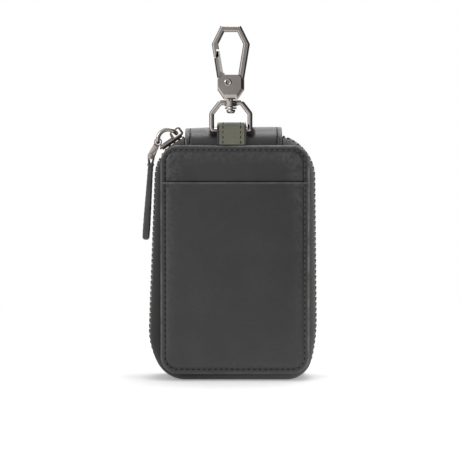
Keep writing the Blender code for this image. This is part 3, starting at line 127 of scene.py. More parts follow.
# %% Node helpers
def add_node(tree, kind, inputs=None, **settings):
    """A node with its settings and inputs; an input takes a number, a colour or another node's output."""
    made = tree.nodes.new(kind)
    for title, value in settings.items():
        setattr(made, title, value)
    for title, value in (inputs or {}).items():
        if isinstance(value, bpy.types.NodeSocket):
            tree.links.new(value, made.inputs[title])
        else:
            made.inputs[title].default_value = value
    return made


def calculate(tree, operation, first, second=0.0, third=0.0, clamp=False):
    """The output of one Math node."""
    inputs = {0: first, 1: second, 2: third}
    return add_node(tree, "ShaderNodeMath", inputs, operation=operation, use_clamp=clamp).outputs[0]


def times(tree, first, second, clamp=False):
    """Two values multiplied."""
    return calculate(tree, "MULTIPLY", first, second, clamp=clamp)


def times_plus(tree, first, second, third):
    """Two values multiplied, and a third added."""
    return calculate(tree, "MULTIPLY_ADD", first, second, third)


def calculate_vector(tree, operation, inputs, output=0):
    """One output of a Vector Math node."""
    return add_node(tree, "ShaderNodeVectorMath", inputs, operation=operation).outputs[output]


def ramp(tree, value, start, end, low=0.0, high=1.0):
    """The value mapped from one range to another, with soft ends."""
    inputs = {"Value": value, "From Min": start, "From Max": end, "To Min": low, "To Max": high}
    return add_node(tree, "ShaderNodeMapRange", inputs, interpolation_type="SMOOTHSTEP").outputs["Result"]


def pull_toward(tree, level, share, goal):
    """The level moved toward a goal by a share."""
    return times_plus(tree, share, calculate(tree, "SUBTRACT", goal, level), level)


def add_noise(tree, where, scale, detail):
    """A noise texture's level, with its scale in cells per metre."""
    return add_node(
        tree, "ShaderNodeTexNoise", {"Vector": where, "Scale": scale, "Detail": detail},
    ).outputs[0]


def blend_colours(tree, share, first, second):
    """Two colours mixed by a share."""
    first, second = (v if isinstance(v, bpy.types.NodeSocket) else (*v, 1) for v in (first, second))
    return add_node(tree, "ShaderNodeMix", {0: share, 6: first, 7: second}, data_type="RGBA").outputs[2]


def start_group(name, kind, inputs, outputs):
    """A node group with named sockets, and its two end nodes."""
    group = bpy.data.node_groups.new(name, kind)
    for title, socket_type, value in inputs:
        socket = group.interface.new_socket(title, in_out="INPUT", socket_type=socket_type)
        if value is not None:
            socket.default_value = value
    for title, socket_type in outputs:
        group.interface.new_socket(title, in_out="OUTPUT", socket_type=socket_type)
    return group, group.nodes.new("NodeGroupInput").outputs, group.nodes.new("NodeGroupOutput")


def end_group(group, end, results):
    """Connect the results to the group's outputs."""
    for title, socket in results.items():
        group.links.new(socket, end.inputs[title])
    print("group", group.name, "with", len(group.nodes), "nodes")


# %% [markdown]
# The floor, the white room and the lamps
#
# The photograph was taken in a white room: no horizon, a soft shadow under the case, and a strong top light
# that shines on the bridge. The floor near the object is a real pale surface, so it keeps the shadow.
# Farther out it melts into plain white for the camera and for reflections. What the pieces mirror isn't the
# same all round: a bright wide lamp from overhead to the back, a pale left side and a dark right side,
# because a polished facet looks like metal only when it mirrors both light and dark.

# %% World
FLOAT, VECTOR, INTEGER = "NodeSocketFloat", "NodeSocketVector", "NodeSocketInt"
GEOMETRY, MATERIAL, OBJECT = "NodeSocketGeometry", "NodeSocketMaterial", "NodeSocketObject"
AMBIENT_LEVEL = 0.55
LEFT_LEVEL, RIGHT_LEVEL, GRAZING_LEVEL, OVERHEAD_LEVEL, PLAIN_LEVEL = 1.25, 0.05, 0.10, 1.9, 1.0
WHITE = (1, 1, 1, 1)


def sees_background(tree):
    """One for rays that should see the white background: camera, glossy and transmission rays."""
    path = add_node(tree, "ShaderNodeLightPath")
    seen = calculate(tree, "MAXIMUM", path.outputs["Is Camera Ray"], path.outputs["Is Glossy Ray"])
    return calculate(tree, "MAXIMUM", seen, path.outputs["Is Transmission Ray"])


def mirrored_level(tree, direction):
    """How bright the room looks in a mirror: pale at the left, dark at the right, brightest overhead.

    A dark band stands at the edge of the front half. The far back is plain white, as all is for the camera.
    """
    x, y, z = add_node(tree, "ShaderNodeSeparateXYZ", {0: direction}).outputs
    level = ramp(tree, x, -0.75, 0.55, LEFT_LEVEL, RIGHT_LEVEL)
    level = pull_toward(tree, level, ramp(tree, y, -0.22, -0.06), GRAZING_LEVEL)
    level = pull_toward(tree, level, ramp(tree, y, 0.60, 0.84), PLAIN_LEVEL)
    tilted = times_plus(tree, z, 0.75, times(tree, y, 0.66))
    level = pull_toward(tree, level, ramp(tree, tilted, 0.70, 0.90), OVERHEAD_LEVEL)
    camera_ray = add_node(tree, "ShaderNodeLightPath").outputs["Is Camera Ray"]
    return pull_toward(tree, level, camera_ray, PLAIN_LEVEL)


world = bpy.data.worlds.new("white_room")
world.use_nodes = True
bpy.context.scene.world = world
room = world.node_tree
room.nodes.clear()
room_level = mirrored_level(room, add_node(room, "ShaderNodeTexCoord").outputs["Generated"])
room_ambient, room_white = (
    add_node(room, "ShaderNodeBackground", {"Color": WHITE, "Strength": level}).outputs[0]
    for level in (AMBIENT_LEVEL, room_level)
)
room_mix = add_node(room, "ShaderNodeMixShader", {0: sees_background(room), 1: room_ambient, 2: room_white})
add_node(room, "ShaderNodeOutputWorld", {"Surface": room_mix.outputs[0]})
print("ambient level", AMBIENT_LEVEL)

# %% Floor
FLOOR_HALF, FLOOR_DROP, FLOOR_GLOW = 6.0, 0.00005, 0.18
FLOOR_MELTS_FROM, FLOOR_MELTS_TO = 0.10, 0.32


def to_mesh(name, shape):
    """A finished shape as a mesh."""
    mesh = bpy.data.meshes.new(name)
    shape.to_mesh(mesh)
    shape.free()
    return mesh


floor_shape = bmesh.new()
corners = [(x * FLOOR_HALF, y * FLOOR_HALF, -FLOOR_DROP) for x, y in ((-1, -1), (1, -1), (1, 1), (-1, 1))]
floor_shape.faces.new([floor_shape.verts.new(corner) for corner in corners])
floor = add_object("floor", to_mesh("floor", floor_shape))

floor_finish = bpy.data.materials.new("pale_floor")
floor_finish.use_nodes = True
tree = floor_finish.node_tree
tree.nodes.clear()
place = add_node(tree, "ShaderNodeTexCoord").outputs["Object"]
distance = calculate_vector(tree, "LENGTH", {0: place}, "Value")
far_away = ramp(tree, distance, FLOOR_MELTS_FROM, FLOOR_MELTS_TO)
share = times(tree, far_away, sees_background(tree))
pale = add_node(tree, "ShaderNodeBsdfPrincipled", {
    "Base Color": (0.93, 0.93, 0.93, 1), "Roughness": 0.9, "Specular IOR Level": 0.0,
    "Emission Color": WHITE, "Emission Strength": FLOOR_GLOW,
})
toward = calculate_vector(tree, "NORMALIZE", {0: place})
white = add_node(tree, "ShaderNodeEmission", {"Color": WHITE, "Strength": mirrored_level(tree, toward)})
floor_mix = add_node(tree, "ShaderNodeMixShader", {0: share, 1: pale.outputs[0], 2: white.outputs[0]})
add_node(tree, "ShaderNodeOutputMaterial", {"Surface": floor_mix.outputs[0]})
floor.data.materials.append(floor_finish)
print("floor", 2 * FLOOR_HALF, "m square")


# %% Lamps
LAMP_AIM = Vector((0, 0, 0.08))


def add_lamp(name, place, side, level, mirrored=True):
    """A square soft lamp that gives a facing white card this level of brightness."""
    data = bpy.data.lights.new(name, "AREA")
    data.shape = "SQUARE"
    data.size = side
    away = Vector(place) - LAMP_AIM
    data.energy = level * math.pi**2 * away.length_squared
    lamp = add_object(name, data)
    lamp.location = place
    lamp.rotation_euler = away.to_track_quat("Z", "Y").to_euler()
    lamp.visible_camera = False
    lamp.visible_glossy = mirrored
    print("lamp", name, round(data.energy, 2), "W")


add_lamp("top_lamp", (0.10, 0.12, 0.95), 0.55, 0.55)
add_lamp("left_lamp", (-1.00, -1.05, 0.60), 0.60, 0.24)
add_lamp("right_lamp", (1.10, -0.85, 0.55), 0.60, 0.24, mirrored=False)

# %% [markdown]
# Effects that several finishes share
#
# Leather, cloth and plated metal all need small irregularities. Each effect is one group that only puts out
# heights and masks: the grain of the leather, the wear that handling leaves on edges together with a painted
# highlight on turned edges, specks of dust, two weaves, and the hair-fine scratches on polished plating. The
# shader itself stays in each material, where it can be read.

# %% Leather grain and wear
def make_leather_grain():
    """Fine pebbled grain with creases between the pebbles."""
    group, given, end = start_group(
        "leather_grain", "ShaderNodeTree",
        [("Vector", VECTOR, None), ("Cells", FLOAT, 2200.0), ("Warp", FLOAT, 0.00025)],
        [("Height", FLOAT), ("Crease", FLOAT), ("Cloud", FLOAT)],
    )
    spot = given["Vector"]
    warp = add_node(group, "ShaderNodeTexNoise", {"Vector": spot, "Scale": 420.0, "Detail": 2.0})
    centred = calculate_vector(group, "SUBTRACT", {0: warp.outputs["Color"], 1: (0.5, 0.5, 0.5)})
    shift = calculate_vector(group, "SCALE", {0: centred, "Scale": given["Warp"]})
    bent = calculate_vector(group, "ADD", {0: spot, 1: shift})
    cell_inputs = {"Vector": bent, "Scale": given["Cells"], "Randomness": 0.9}
    cells = add_node(group, "ShaderNodeTexVoronoi", cell_inputs, feature="DISTANCE_TO_EDGE")
    pebble = ramp(group, cells.outputs["Distance"], 0.0, 0.28)
    height = times_plus(group, add_noise(group, spot, 5200.0, 2.0), 0.35, pebble)
    crease = calculate(group, "SUBTRACT", 1.0, pebble)
    end_group(group, end, {"Height": height, "Crease": crease, "Cloud": add_noise(group, spot, 55.0, 3.0)})
    return group


def make_wear_and_edge_highlight():
    """Where hands rub the finish, and where a turned edge gets a painted highlight: strong on edges, broken
    up by noise.
    """
    group, given, end = start_group(
        "wear_and_edge_highlight", "ShaderNodeTree",
        [("Vector", VECTOR, None), ("Edge", FLOAT, 0.0), ("Amount", FLOAT, 1.0)], [("Mask", FLOAT)],
    )
    broken = ramp(group, add_noise(group, given["Vector"], 260.0, 4.0), 0.30, 0.70, 0.35, 1.0)
    rubbed_and_lit = times(group, given["Edge"], broken)
    end_group(group, end, {"Mask": times(group, rubbed_and_lit, given["Amount"], clamp=True)})
    return group


def make_fine_dust():
    """Sparse pale specks."""
    group, given, end = start_group(
        "fine_dust", "ShaderNodeTree", [("Vector", VECTOR, None), ("Amount", FLOAT, 0.3)], [("Mask", FLOAT)],
    )
    specks = ramp(group, add_noise(group, given["Vector"], 3200.0, 1.0), 0.70, 0.80)
    drift = ramp(group, add_noise(group, given["Vector"], 90.0, 2.0), 0.45, 0.65)
    end_group(group, end, {"Mask": times(group, times(group, specks, drift), given["Amount"])})
    return group


LEATHER_GRAIN, WEAR_AND_EDGE_HIGHLIGHT, FINE_DUST = make_leather_grain(), make_wear_and_edge_highlight(), make_fine_dust()


# %% Weaves and scratches
def make_herringbone():
    """The zip tape's weave on a flat map in millimetres: slanted ribs that turn back every few threads."""
    group, given, end = start_group(
        "herringbone", "ShaderNodeTree",
        [("Vector", VECTOR, None), ("Pitch", FLOAT, 0.62), ("Band", FLOAT, 1.3)],
        [("Height", FLOAT), ("Shade", FLOAT)],
    )
    along, up, _ = add_node(group, "ShaderNodeSeparateXYZ", {0: given["Vector"]}).outputs
    slanted = calculate(group, "ADD", along, calculate(group, "PINGPONG", up, given["Band"]))
    waves = []
    for place, turns in ((slanted, 1.0), (up, 1.6)):
        turn = times(group, calculate(group, "DIVIDE", place, given["Pitch"]), math.tau * turns)
        waves.append(times_plus(group, calculate(group, "SINE", turn), 0.5, 0.5))
    height = times_plus(group, waves[1], 0.35, waves[0])
    end_group(group, end, {"Height": height, "Shade": ramp(group, height, 0.2, 1.1)})
    return group


def make_plain_weave():
    """Plain cloth: threads over and under each other, at a pitch in metres."""
    group, given, end = start_group(
        "plain_weave", "ShaderNodeTree", [("Vector", VECTOR, None), ("Pitch", FLOAT, 0.0004)],
        [("Height", FLOAT), ("Shade", FLOAT)],
    )
    parts = add_node(group, "ShaderNodeSeparateXYZ", {0: given["Vector"]})
    waves = []
    for axis in ("X", "Z"):
        turn = times(group, calculate(group, "DIVIDE", parts.outputs[axis], given["Pitch"]), math.pi)
        waves.append(calculate(group, "SINE", turn))
    height = times_plus(group, times(group, *waves), 0.5, 0.5)
    slub = ramp(group, add_noise(group, given["Vector"], 700.0, 2.0), 0.3, 0.7, 0.6, 1.0)
    end_group(group, end, {"Height": height, "Shade": times(group, height, slub)})
    return group


def make_polish_marks():
    """Hair-fine scratches in two directions, and slow cloudiness, on polished plating."""
    group, given, end = start_group(
        "polish_marks", "ShaderNodeTree", [("Vector", VECTOR, None), ("Fineness", FLOAT, 1.0)],
        [("Height", FLOAT), ("Cloud", FLOAT), ("Marks", FLOAT)],
    )
    layers = []
    for turn, stretch in ((0.4, (9000.0, 9000.0, 260.0)), (-0.9, (300.0, 9000.0, 7000.0))):
        mapping = {"Vector": given["Vector"], "Rotation": (0, turn, 0), "Scale": stretch}
        mapped = add_node(group, "ShaderNodeMapping", mapping).outputs[0]
        layers.append(ramp(group, add_noise(group, mapped, given["Fineness"], 1.0), 0.55, 0.75))
    marks = calculate(group, "MAXIMUM", *layers)
    cloud = add_noise(group, given["Vector"], 180.0, 3.0)
    end_group(
        group, end, {"Height": calculate(group, "SUBTRACT", 1.0, marks), "Cloud": cloud, "Marks": marks},
    )
    return group


HERRINGBONE, PLAIN_WEAVE, POLISH_MARKS = make_herringbone(), make_plain_weave(), make_polish_marks()


# %% [markdown]
# The finishes
#
# The case is smooth calf leather in a very dark grey. Where an edge turns it is drawn paler: partly wear,
# because the leather is stretched and rubbed there, and partly a painted highlight of the light on the round.
# The strap is a matt olive leather. Cut edges are sealed with dark paint. The snap hook, eye and slider have
# a polished gunmetal plating, while the teeth are duller and darker.

# %% Start a finish
DEEPER = 0.45


def start_finish(name, roughness, metallic=0.0, specular=0.5):
    """A material with one Principled shader, and where its patterns are read from."""
    finish = bpy.data.materials.new(name)
    finish.use_nodes = True
    tree = finish.node_tree
    shader = tree.nodes["Principled BSDF"]
    shader.inputs["Roughness"].default_value = roughness
    shader.inputs["Metallic"].default_value = metallic
    shader.inputs["Specular IOR Level"].default_value = specular
    return finish, tree, shader, add_node(tree, "ShaderNodeTexCoord").outputs


def place_group(tree, group, inputs):
    """One shared effect in a material."""
    return add_node(tree, "ShaderNodeGroup", inputs, node_tree=group).outputs


def read_mask(tree, name):
    """A mask that was painted on the piece."""
    return add_node(tree, "ShaderNodeAttribute", attribute_name=name).outputs["Fac"]


def scaled(colour, factor):
    """A colour, darker or lighter by a factor."""
    return tuple(v * factor for v in colour)


def raise_surface(tree, shader, height, depth):
    """A height in the shader's normal, at a depth in metres."""
    bump = add_node(tree, "ShaderNodeBump", {"Height": height, "Distance": depth, "Strength": 1.0})
    tree.links.new(bump.outputs[0], shader.inputs["Normal"])


# %% Leather
PUCKER_DEPTH, COAT_ROUGHNESS = 0.00022, 0.28
# The first colour is the near-black of painted shade, the second is real dust.
PAINTED_SHADE_COLOUR, DUST_COLOUR = (0.003, 0.003, 0.003), (0.30, 0.30, 0.29)


def make_leather(
    name, dye_colours, roughness, specular, cells=2200.0, grain_depth=0.00003, wear=1.0, coat=0.0,
):
    """Dyed leather: grain, clouded dye, dark creases, puckers, rubbed edges, painted highlights, painted
    shade, dust.
    """
    deep, pale, worn_and_highlight = dye_colours
    finish, tree, shader, where = start_finish(name, roughness, specular=specular)
    spot = where["Object"]
    grain = place_group(tree, LEATHER_GRAIN, {"Vector": spot, "Cells": cells})
    rubbed_and_lit = {"Vector": spot, "Edge": read_mask(tree, "edge"), "Amount": wear}
    wear_and_highlight_mask = place_group(tree, WEAR_AND_EDGE_HIGHLIGHT, rubbed_and_lit)["Mask"]
    dust = place_group(tree, FINE_DUST, {"Vector": spot, "Amount": 0.25})["Mask"]
    fold_inputs = {"Vector": spot, "Scale": 520.0, "Detail": 3.0, "Roughness": 0.6}
    folds = ramp(tree, add_node(tree, "ShaderNodeTexNoise", fold_inputs).outputs[0], 0.30, 0.70)
    raised_and_highlight = times(tree, read_mask(tree, "pucker"), folds)
    soil = read_mask(tree, "soil")
    colour = blend_colours(tree, ramp(tree, grain["Cloud"], 0.35, 0.65), deep, pale)
    # Layers over the dye: grain creases, edge wear with painted highlight, painted highlight on puckers,
    # painted shade, dust.
    for mask, layer in (
        (times(tree, grain["Crease"], DEEPER), scaled(deep, DEEPER)), (wear_and_highlight_mask, worn_and_highlight),
        (times(tree, raised_and_highlight, 0.22), worn_and_highlight), (times(tree, soil, 0.9), PAINTED_SHADE_COLOUR), (dust, DUST_COLOUR),
    ):
        colour = blend_colours(tree, mask, colour, layer)
    tree.links.new(colour, shader.inputs["Base Color"])
    dull = times_plus(tree, soil, 0.45, roughness - 0.04)
    sheen = times_plus(tree, grain["Crease"], 0.18, dull)
    tree.links.new(times_plus(tree, grain["Cloud"], 0.08, sheen), shader.inputs["Roughness"])
    relief = times_plus(tree, grain["Height"], grain_depth / PUCKER_DEPTH, raised_and_highlight)
    raise_surface(tree, shader, relief, PUCKER_DEPTH)
    tree.links.new(times_plus(tree, soil, -coat, coat), shader.inputs["Coat Weight"])
    shader.inputs["Coat Roughness"].default_value = COAT_ROUGHNESS
    return finish


# The third colour is the pale edge colour: wear on both leathers, and on the dark one also a painted
# highlight.
DARK_DYE = ((0.016, 0.016, 0.016), (0.022, 0.022, 0.022), (0.130, 0.130, 0.128))
OLIVE_DYE = ((0.128, 0.128, 0.094), (0.150, 0.150, 0.114), (0.19, 0.19, 0.15))
dark_leather = make_leather("dark_leather", DARK_DYE, 0.42, 0.45, coat=0.35)
olive_leather = make_leather(
    "olive_leather", OLIVE_DYE, 0.58, 0.30, cells=2600.0, grain_depth=0.00002, wear=0.35,
)


def make_edge_paint(name, colour):
    """Sealed cut edge: dark paint with a soft gloss, slightly uneven."""
    finish, tree, shader, where = start_finish(name, 0.38, specular=0.45)
    uneven = add_noise(tree, where["Object"], 900.0, 3.0)
    tree.links.new(blend_colours(tree, uneven, colour, scaled(colour, 1.8)), shader.inputs["Base Color"])
    tree.links.new(ramp(tree, uneven, 0.3, 0.7, 0.32, 0.50), shader.inputs["Roughness"])
    raise_surface(tree, shader, uneven, 0.00004)
    return finish


def make_thread(name, colour):
    """Waxed thread: two strands twisted, darker between them."""
    finish, tree, shader, where = start_finish(name, 0.8, specular=0.15)
    mapped = add_node(tree, "ShaderNodeMapping", {"Vector": where["Object"], "Rotation": (0.6, 0.8, 0.6)})
    wave = {"Vector": mapped.outputs[0], "Scale": 1500.0, "Distortion": 0.6}
    strands = add_node(tree, "ShaderNodeTexWave", wave, wave_type="BANDS").outputs["Fac"]
    tree.links.new(blend_colours(tree, strands, scaled(colour, DEEPER), colour), shader.inputs["Base Color"])
    raise_surface(tree, shader, strands, 0.00005)
    return finish


edge_paint = make_edge_paint("edge_paint", (0.020, 0.019, 0.019))
thread = make_thread("dark_thread", (0.007, 0.0065, 0.0065))
print("leather, edge paint and thread are ready")


# %% Tape and cloth
def make_tape_cloth():
    """Herringbone polyester tape, on the piece's own flat map, with painted shade on the left and painted
    light on the right.
    """
    finish, tree, shader, where = start_finish("woven_tape", 0.72, specular=0.25)
    weave = place_group(tree, HERRINGBONE, {"Vector": where["UV"]})
    fuzz = times(tree, add_noise(tree, where["Object"], 2400.0, 2.0), 0.35)
    across = add_node(tree, "ShaderNodeSeparateXYZ", {0: where["Object"]}).outputs[0]
    # Painted light and shade: the colour runs from dark on the case's left side to pale on its right side.
    painted_side_light = blend_colours(
        tree, ramp(tree, across, -0.03, 0.03), (0.030, 0.029, 0.029), (0.130, 0.127, 0.125),
    )
    tint = blend_colours(tree, weave["Shade"], (0.010, 0.010, 0.010), painted_side_light)
    tree.links.new(blend_colours(tree, fuzz, tint, (0.06, 0.06, 0.06)), shader.inputs["Base Color"])
    raise_surface(tree, shader, weave["Height"], 0.00010)
    shader.inputs["Sheen Weight"].default_value = 0.15
    return finish


def make_lining_cloth():
    """Plain dark lining."""
    finish, tree, shader, where = start_finish("lining_cloth", 0.8, specular=0.2)
    weave = place_group(tree, PLAIN_WEAVE, {"Vector": where["Object"], "Pitch": 0.00042})
    tint = blend_colours(tree, weave["Shade"], (0.012, 0.012, 0.013), (0.048, 0.048, 0.051))
    tree.links.new(tint, shader.inputs["Base Color"])
    raise_surface(tree, shader, weave["Height"], 0.00006)
    shader.inputs["Sheen Weight"].default_value = 0.2
    return finish


tape_cloth, lining_cloth = make_tape_cloth(), make_lining_cloth()
print("tape and lining are ready")


# %% Metal
MARK_DEPTH, CLOUDED = 0.0000015, 0.06


def make_plating(name, colour, roughness):
    """Plated metal: polish marks in roughness and relief, and a plating colour that drifts a little."""
    finish, tree, shader, where = start_finish(name, roughness, metallic=1.0)
    marks = place_group(tree, POLISH_MARKS, {"Vector": where["Object"]})
    tint = blend_colours(tree, ramp(tree, marks["Cloud"], 0.3, 0.7), scaled(colour, 0.88), colour)
    tree.links.new(tint, shader.inputs["Base Color"])
    rough = times_plus(tree, marks["Marks"], CLOUDED, roughness)
    tree.links.new(times_plus(tree, marks["Cloud"], CLOUDED * 0.6, rough), shader.inputs["Roughness"])
    raise_surface(tree, shader, marks["Height"], MARK_DEPTH)
    return finish


gunmetal = make_plating("gunmetal", (0.46, 0.42, 0.395), 0.11)
zip_metal = make_plating("zip_metal", (0.17, 0.145, 0.125), 0.30)
nickel_steel = make_plating("nickel_steel", (0.60, 0.59, 0.58), 0.18)
print("plated metals are ready")

# %% [markdown]
# Turning point lists into pieces
#
# Most pieces here are shells between rings of points. The rings are made in the case's millimetres, and one
# helper closes the job: it moves the shell into the frame, turns its faces outward, smooths it where the
# angle is small, and hands it to the body it moves with.

# %% Piece helpers
def skin_rings(shape, rings, closed=False, capped=True):
    """A skin over rings of points, all with the same count."""
    rows = [[shape.verts.new(point) for point in ring] for ring in rings]
    pairs = list(zip(rows, rows[1:]))
    if closed:
        pairs.append((rows[-1], rows[0]))
    faces = []
    for near, far in pairs:
        for index in range(len(near)):
            following = (index + 1) % len(near)
            faces.append(shape.faces.new((near[index], near[following], far[following], far[index])))
    if capped and not closed:
        faces.append(shape.faces.new(rows[0][::-1]))
        faces.append(shape.faces.new(rows[-1]))
    return rows, faces


def turn_into_frame(shape):
    """The shape's points from the case's millimetres to the frame, with its faces turned outward."""
    for vertex in shape.verts:
        vertex.co = to_frame(vertex.co)
    bmesh.ops.recalc_face_normals(shape, faces=shape.faces)
    for face in shape.faces:
        face.smooth = True


def finish_piece(name, shape, finishes, body, nodes=(), smooth_degrees=40):
    """The shape as a piece of the object that rides on its body and stands for its CAD nodes."""
    turn_into_frame(shape)
    dress_mesh(name, to_mesh(name, shape), finishes, body, nodes, smooth_degrees)


def slot_of(finish):
    """The record's slot for a finish: its name without the number that Blender adds to a name in use."""
    return finish.name.partition(".")[0]


def dress_mesh(name, mesh, finishes, body, nodes=(), smooth_degrees=40, slot=None):
    """A ready mesh as a piece of the object."""
    if len(mesh.materials):
        mesh.materials.clear()
    for finish in finishes:
        mesh.materials.append(finish)
    if smooth_degrees:
        mesh.set_sharp_from_angle(angle=math.radians(smooth_degrees))
    piece = add_object(name, mesh)
    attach(piece, body)
    slot or slot_of(finishes[0])
    if nodes:
        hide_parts(*nodes)
    print(f"{name}: {len(mesh.polygons)} faces")


def smooth_share(value, start, end):
    """Zero before start, one after end, soft between."""
    share = min(1.0, max(0.0, (value - start) / (end - start)))
    return share * share * (3 - 2 * share)


def follow_table(value, table):
    """The level at a value, straight between the table's points."""
    if value <= table[0][0]:
        return table[0][1]
    for (before, low), (after, high) in zip(table, table[1:]):
        if value <= after:
            return low + (high - low) * (value - before) / (after - before)
    return table[-1][1]


# %% [markdown]
# The two leather panels
#
# Each panel is a stiff board covered with leather. The leather is turned round the edge, pressed flat in a
# rim of two millimetres and sewn there, so that the middle stands up a little like a cushion. Rings of
# points that run parallel to the outline are the natural way to build this: each ring takes its height from
# its distance to the edge, and the rounded edge, the sewing groove and the padded middle come from one
# table.

# %% Rings parallel to the outline
PANEL_CORNER = 7.5
EDGE_INSETS = [
    0, 0.05, 0.15, 0.3, 0.5, 0.7, 1.0, 1.35, 1.65, 1.85, 2.0, 2.15, 2.3, 2.42, 2.55, 2.7, 2.9,
    3.2, 3.6, 4.2, 5.2,
]
MIDDLE_INSETS = [6.6, 8.6, 11, 14, 17, 20, 23, 26, 29, 31.2]
SHARPEST_CORNER = 0.6


def parallel_ring(outline, inset, corner_steps=9, side_steps=(14, 22)):
    """A rounded rectangle's outline moved in by an inset, always with the same count of points."""
    left, right, bottom, top, radii = outline
    reach = [max(radius - inset, min(radius, SHARPEST_CORNER)) for radius in radii]
    west, east, south, north = left + inset, right - inset, bottom + inset, top - inset
    arcs = [
        (west + reach[0], south + reach[0], 180, reach[0]),
        (east - reach[1], south + reach[1], 270, reach[1]),
        (east - reach[2], north - reach[2], 0, reach[2]), (west + reach[3], north - reach[3], 90, reach[3]),
    ]
    ring = []
    for index, (x, z, start, radius) in enumerate(arcs):
        for step in range(corner_steps + 1):
            turn = math.radians(start + 90 * step / corner_steps)
            ring.append((x + radius * math.cos(turn), z + radius * math.sin(turn)))
        next_x, next_z, next_start, next_radius = arcs[(index + 1) % 4]
        turn = math.radians(next_start)
        end = (next_x + next_radius * math.cos(turn), next_z + next_radius * math.sin(turn))
        begin, count = ring[-1], side_steps[index % 2]
        for step in range(1, count):
            ring.append(tuple(a + (b - a) * step / count for a, b in zip(begin, end)))
    return ring


def edge_distance(x, z):
    """How far a point lies inside the panel's outline."""
    across = abs(x) - PANEL_HALF + PANEL_CORNER
    up = abs(z - (PANEL_BOTTOM + PANEL_TOP) / 2) - (PANEL_TOP - PANEL_BOTTOM) / 2 + PANEL_CORNER
    outside = math.hypot(max(across, 0), max(up, 0))
    return PANEL_CORNER - outside - min(max(across, up), 0)


def rounded_drop(inset, radius):
    """How far a rounded edge of this radius has dropped at a distance from the edge."""
    if inset >= radius:
        return 0.0
    return radius - math.sqrt(max(0.0, radius**2 - (radius - inset) ** 2))


def make_plate(outline, front_level, back_level, side, base_depth, insets=EDGE_INSETS + MIDDLE_INSETS):
    """A closed plate: front and back rings whose levels are read at each of their points."""
    rings = [parallel_ring(outline, inset) for inset in insets]
    back_rings, front_rings = (
        [[(x, side * (base_depth + level(x, z)), z) for x, z in ring] for ring in rings]
        for level in (back_level, front_level)
    )
    shape = bmesh.new()
    skin_rings(shape, back_rings[::-1] + front_rings)
    return shape


def paint(shape, **masks):
    """Masks that the leather reads: edge wear and painted highlight where it turns, puckers and painted
    highlight beside a seam, painted shade where a shadow falls.
    """
    for name, amount in masks.items():
        layer = shape.verts.layers.float.new(name)
        for vertex in shape.verts:
            vertex[layer] = amount(vertex.co)


def stretched(x, z, size, seed, amount):
    """The slow unevenness of stretched leather, absent on the sewn rim."""
    return noise.noise(Vector((x / size, z / size, seed))) * amount * smooth_share(edge_distance(x, z), 3, 8)


# %% Panels
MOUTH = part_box("card_pocket")[1].z / MM - 0.7
RIM_TABLE = [
    (0, 1.52), (1.9, 1.52), (2.15, 1.46), (2.40, 1.36), (2.58, 1.46), (2.9, 1.62), (3.6, 1.72),
    (5.2, 1.78), (9, 1.80),
]
PANEL_ROUND, UNDER_ROUND = 0.55, 0.3
BACK_SEED, FRONT_SEED = 3.1, 7.7
panel_outline = (-PANEL_HALF, PANEL_HALF, PANEL_BOTTOM, PANEL_TOP, [PANEL_CORNER] * 4)


def panel_level(seed):
    """The front level of a panel."""
    def level(x, z):
        inside = edge_distance(x, z)
        slow = stretched(x, z, 16, seed, 0.05)
        return follow_table(inside, RIM_TABLE) - rounded_drop(inside, PANEL_ROUND) - 0.03 + slow
    return level


def panel_under(x, z):
    """The back level of a panel."""
    return rounded_drop(edge_distance(x, z), UNDER_ROUND)


def turned_edge(point):
    """Wear and a painted highlight on the turned edge of a panel, less in the lower corners and toward the
    left.
    """
    low = 0.35 + 0.65 * smooth_share(point.z, 4, 14)
    left = 1 - 0.45 * smooth_share(-point.x, 0, 20)
    return (1 - smooth_share(edge_distance(point.x, point.z), 0.5, 1.05)) * low * left


def seam_folds_and_highlight(point):
    """Puckers just inside the seam, strongest in the upper corners, with a painted highlight on them."""
    inside = edge_distance(point.x, point.z)
    height = smooth_share(point.z, 15, 92)
    corner = smooth_share(abs(point.x), 14, 30) * smooth_share(point.z, 78, 96)
    fading = smooth_share(inside, 3.6 + 2.5 * corner, 7 + 6 * corner + 2 * height)
    return smooth_share(inside, 2.6, 3.2) * (1 - fading) * (0.30 + 0.45 * height + 0.25 * corner)


def mouth_soil(point):
    """Painted shadow: the dark line on the panel over the pocket's mouth."""
    over = 1 - smooth_share(point.z, MOUTH + 0.30, MOUTH + 0.85)
    inside = smooth_share(edge_distance(point.x, point.z), 1.6, 2.6)
    return 0.85 * over * smooth_share(point.z, MOUTH - 3, MOUTH - 1) * inside


def make_panel(name, side, body, seed, **masks):
    """One leather panel."""
    shape = make_plate(panel_outline, panel_level(seed), panel_under, side, PANEL_BACK)
    # Cuts over the pocket's mouth give the painted shadow line room on the mesh.
    if "soil" in masks:
        for over_mouth in (-3, -1, 0.30, 0.55, 0.85):
            every = [*shape.verts, *shape.edges, *shape.faces]
            bmesh.ops.bisect_plane(shape, geom=every, plane_co=(0, 0, MOUTH + over_mouth), plane_no=(0, 0, 1))
    paint(shape, edge=turned_edge, pucker=seam_folds_and_highlight, **masks)
    finish_piece(f"leather_{name}", shape, [dark_leather], body, [name])


make_panel("back_panel", 1, "case_back", BACK_SEED)
make_panel("front_panel", -1, "front_cover", FRONT_SEED, soil=mouth_soil)

# %% [markdown]
# The card pocket
#
# A second piece of leather is sewn on the front along three sides. It shares the panel's outline and its
# seam, so its levels come from the same distance to the edge. Only its mouth differs: the leather is folded
# under there. A dark line of painted shadow lies on the panel just above the fold, and the light line on the
# fold below it is partly wear and partly a painted highlight.

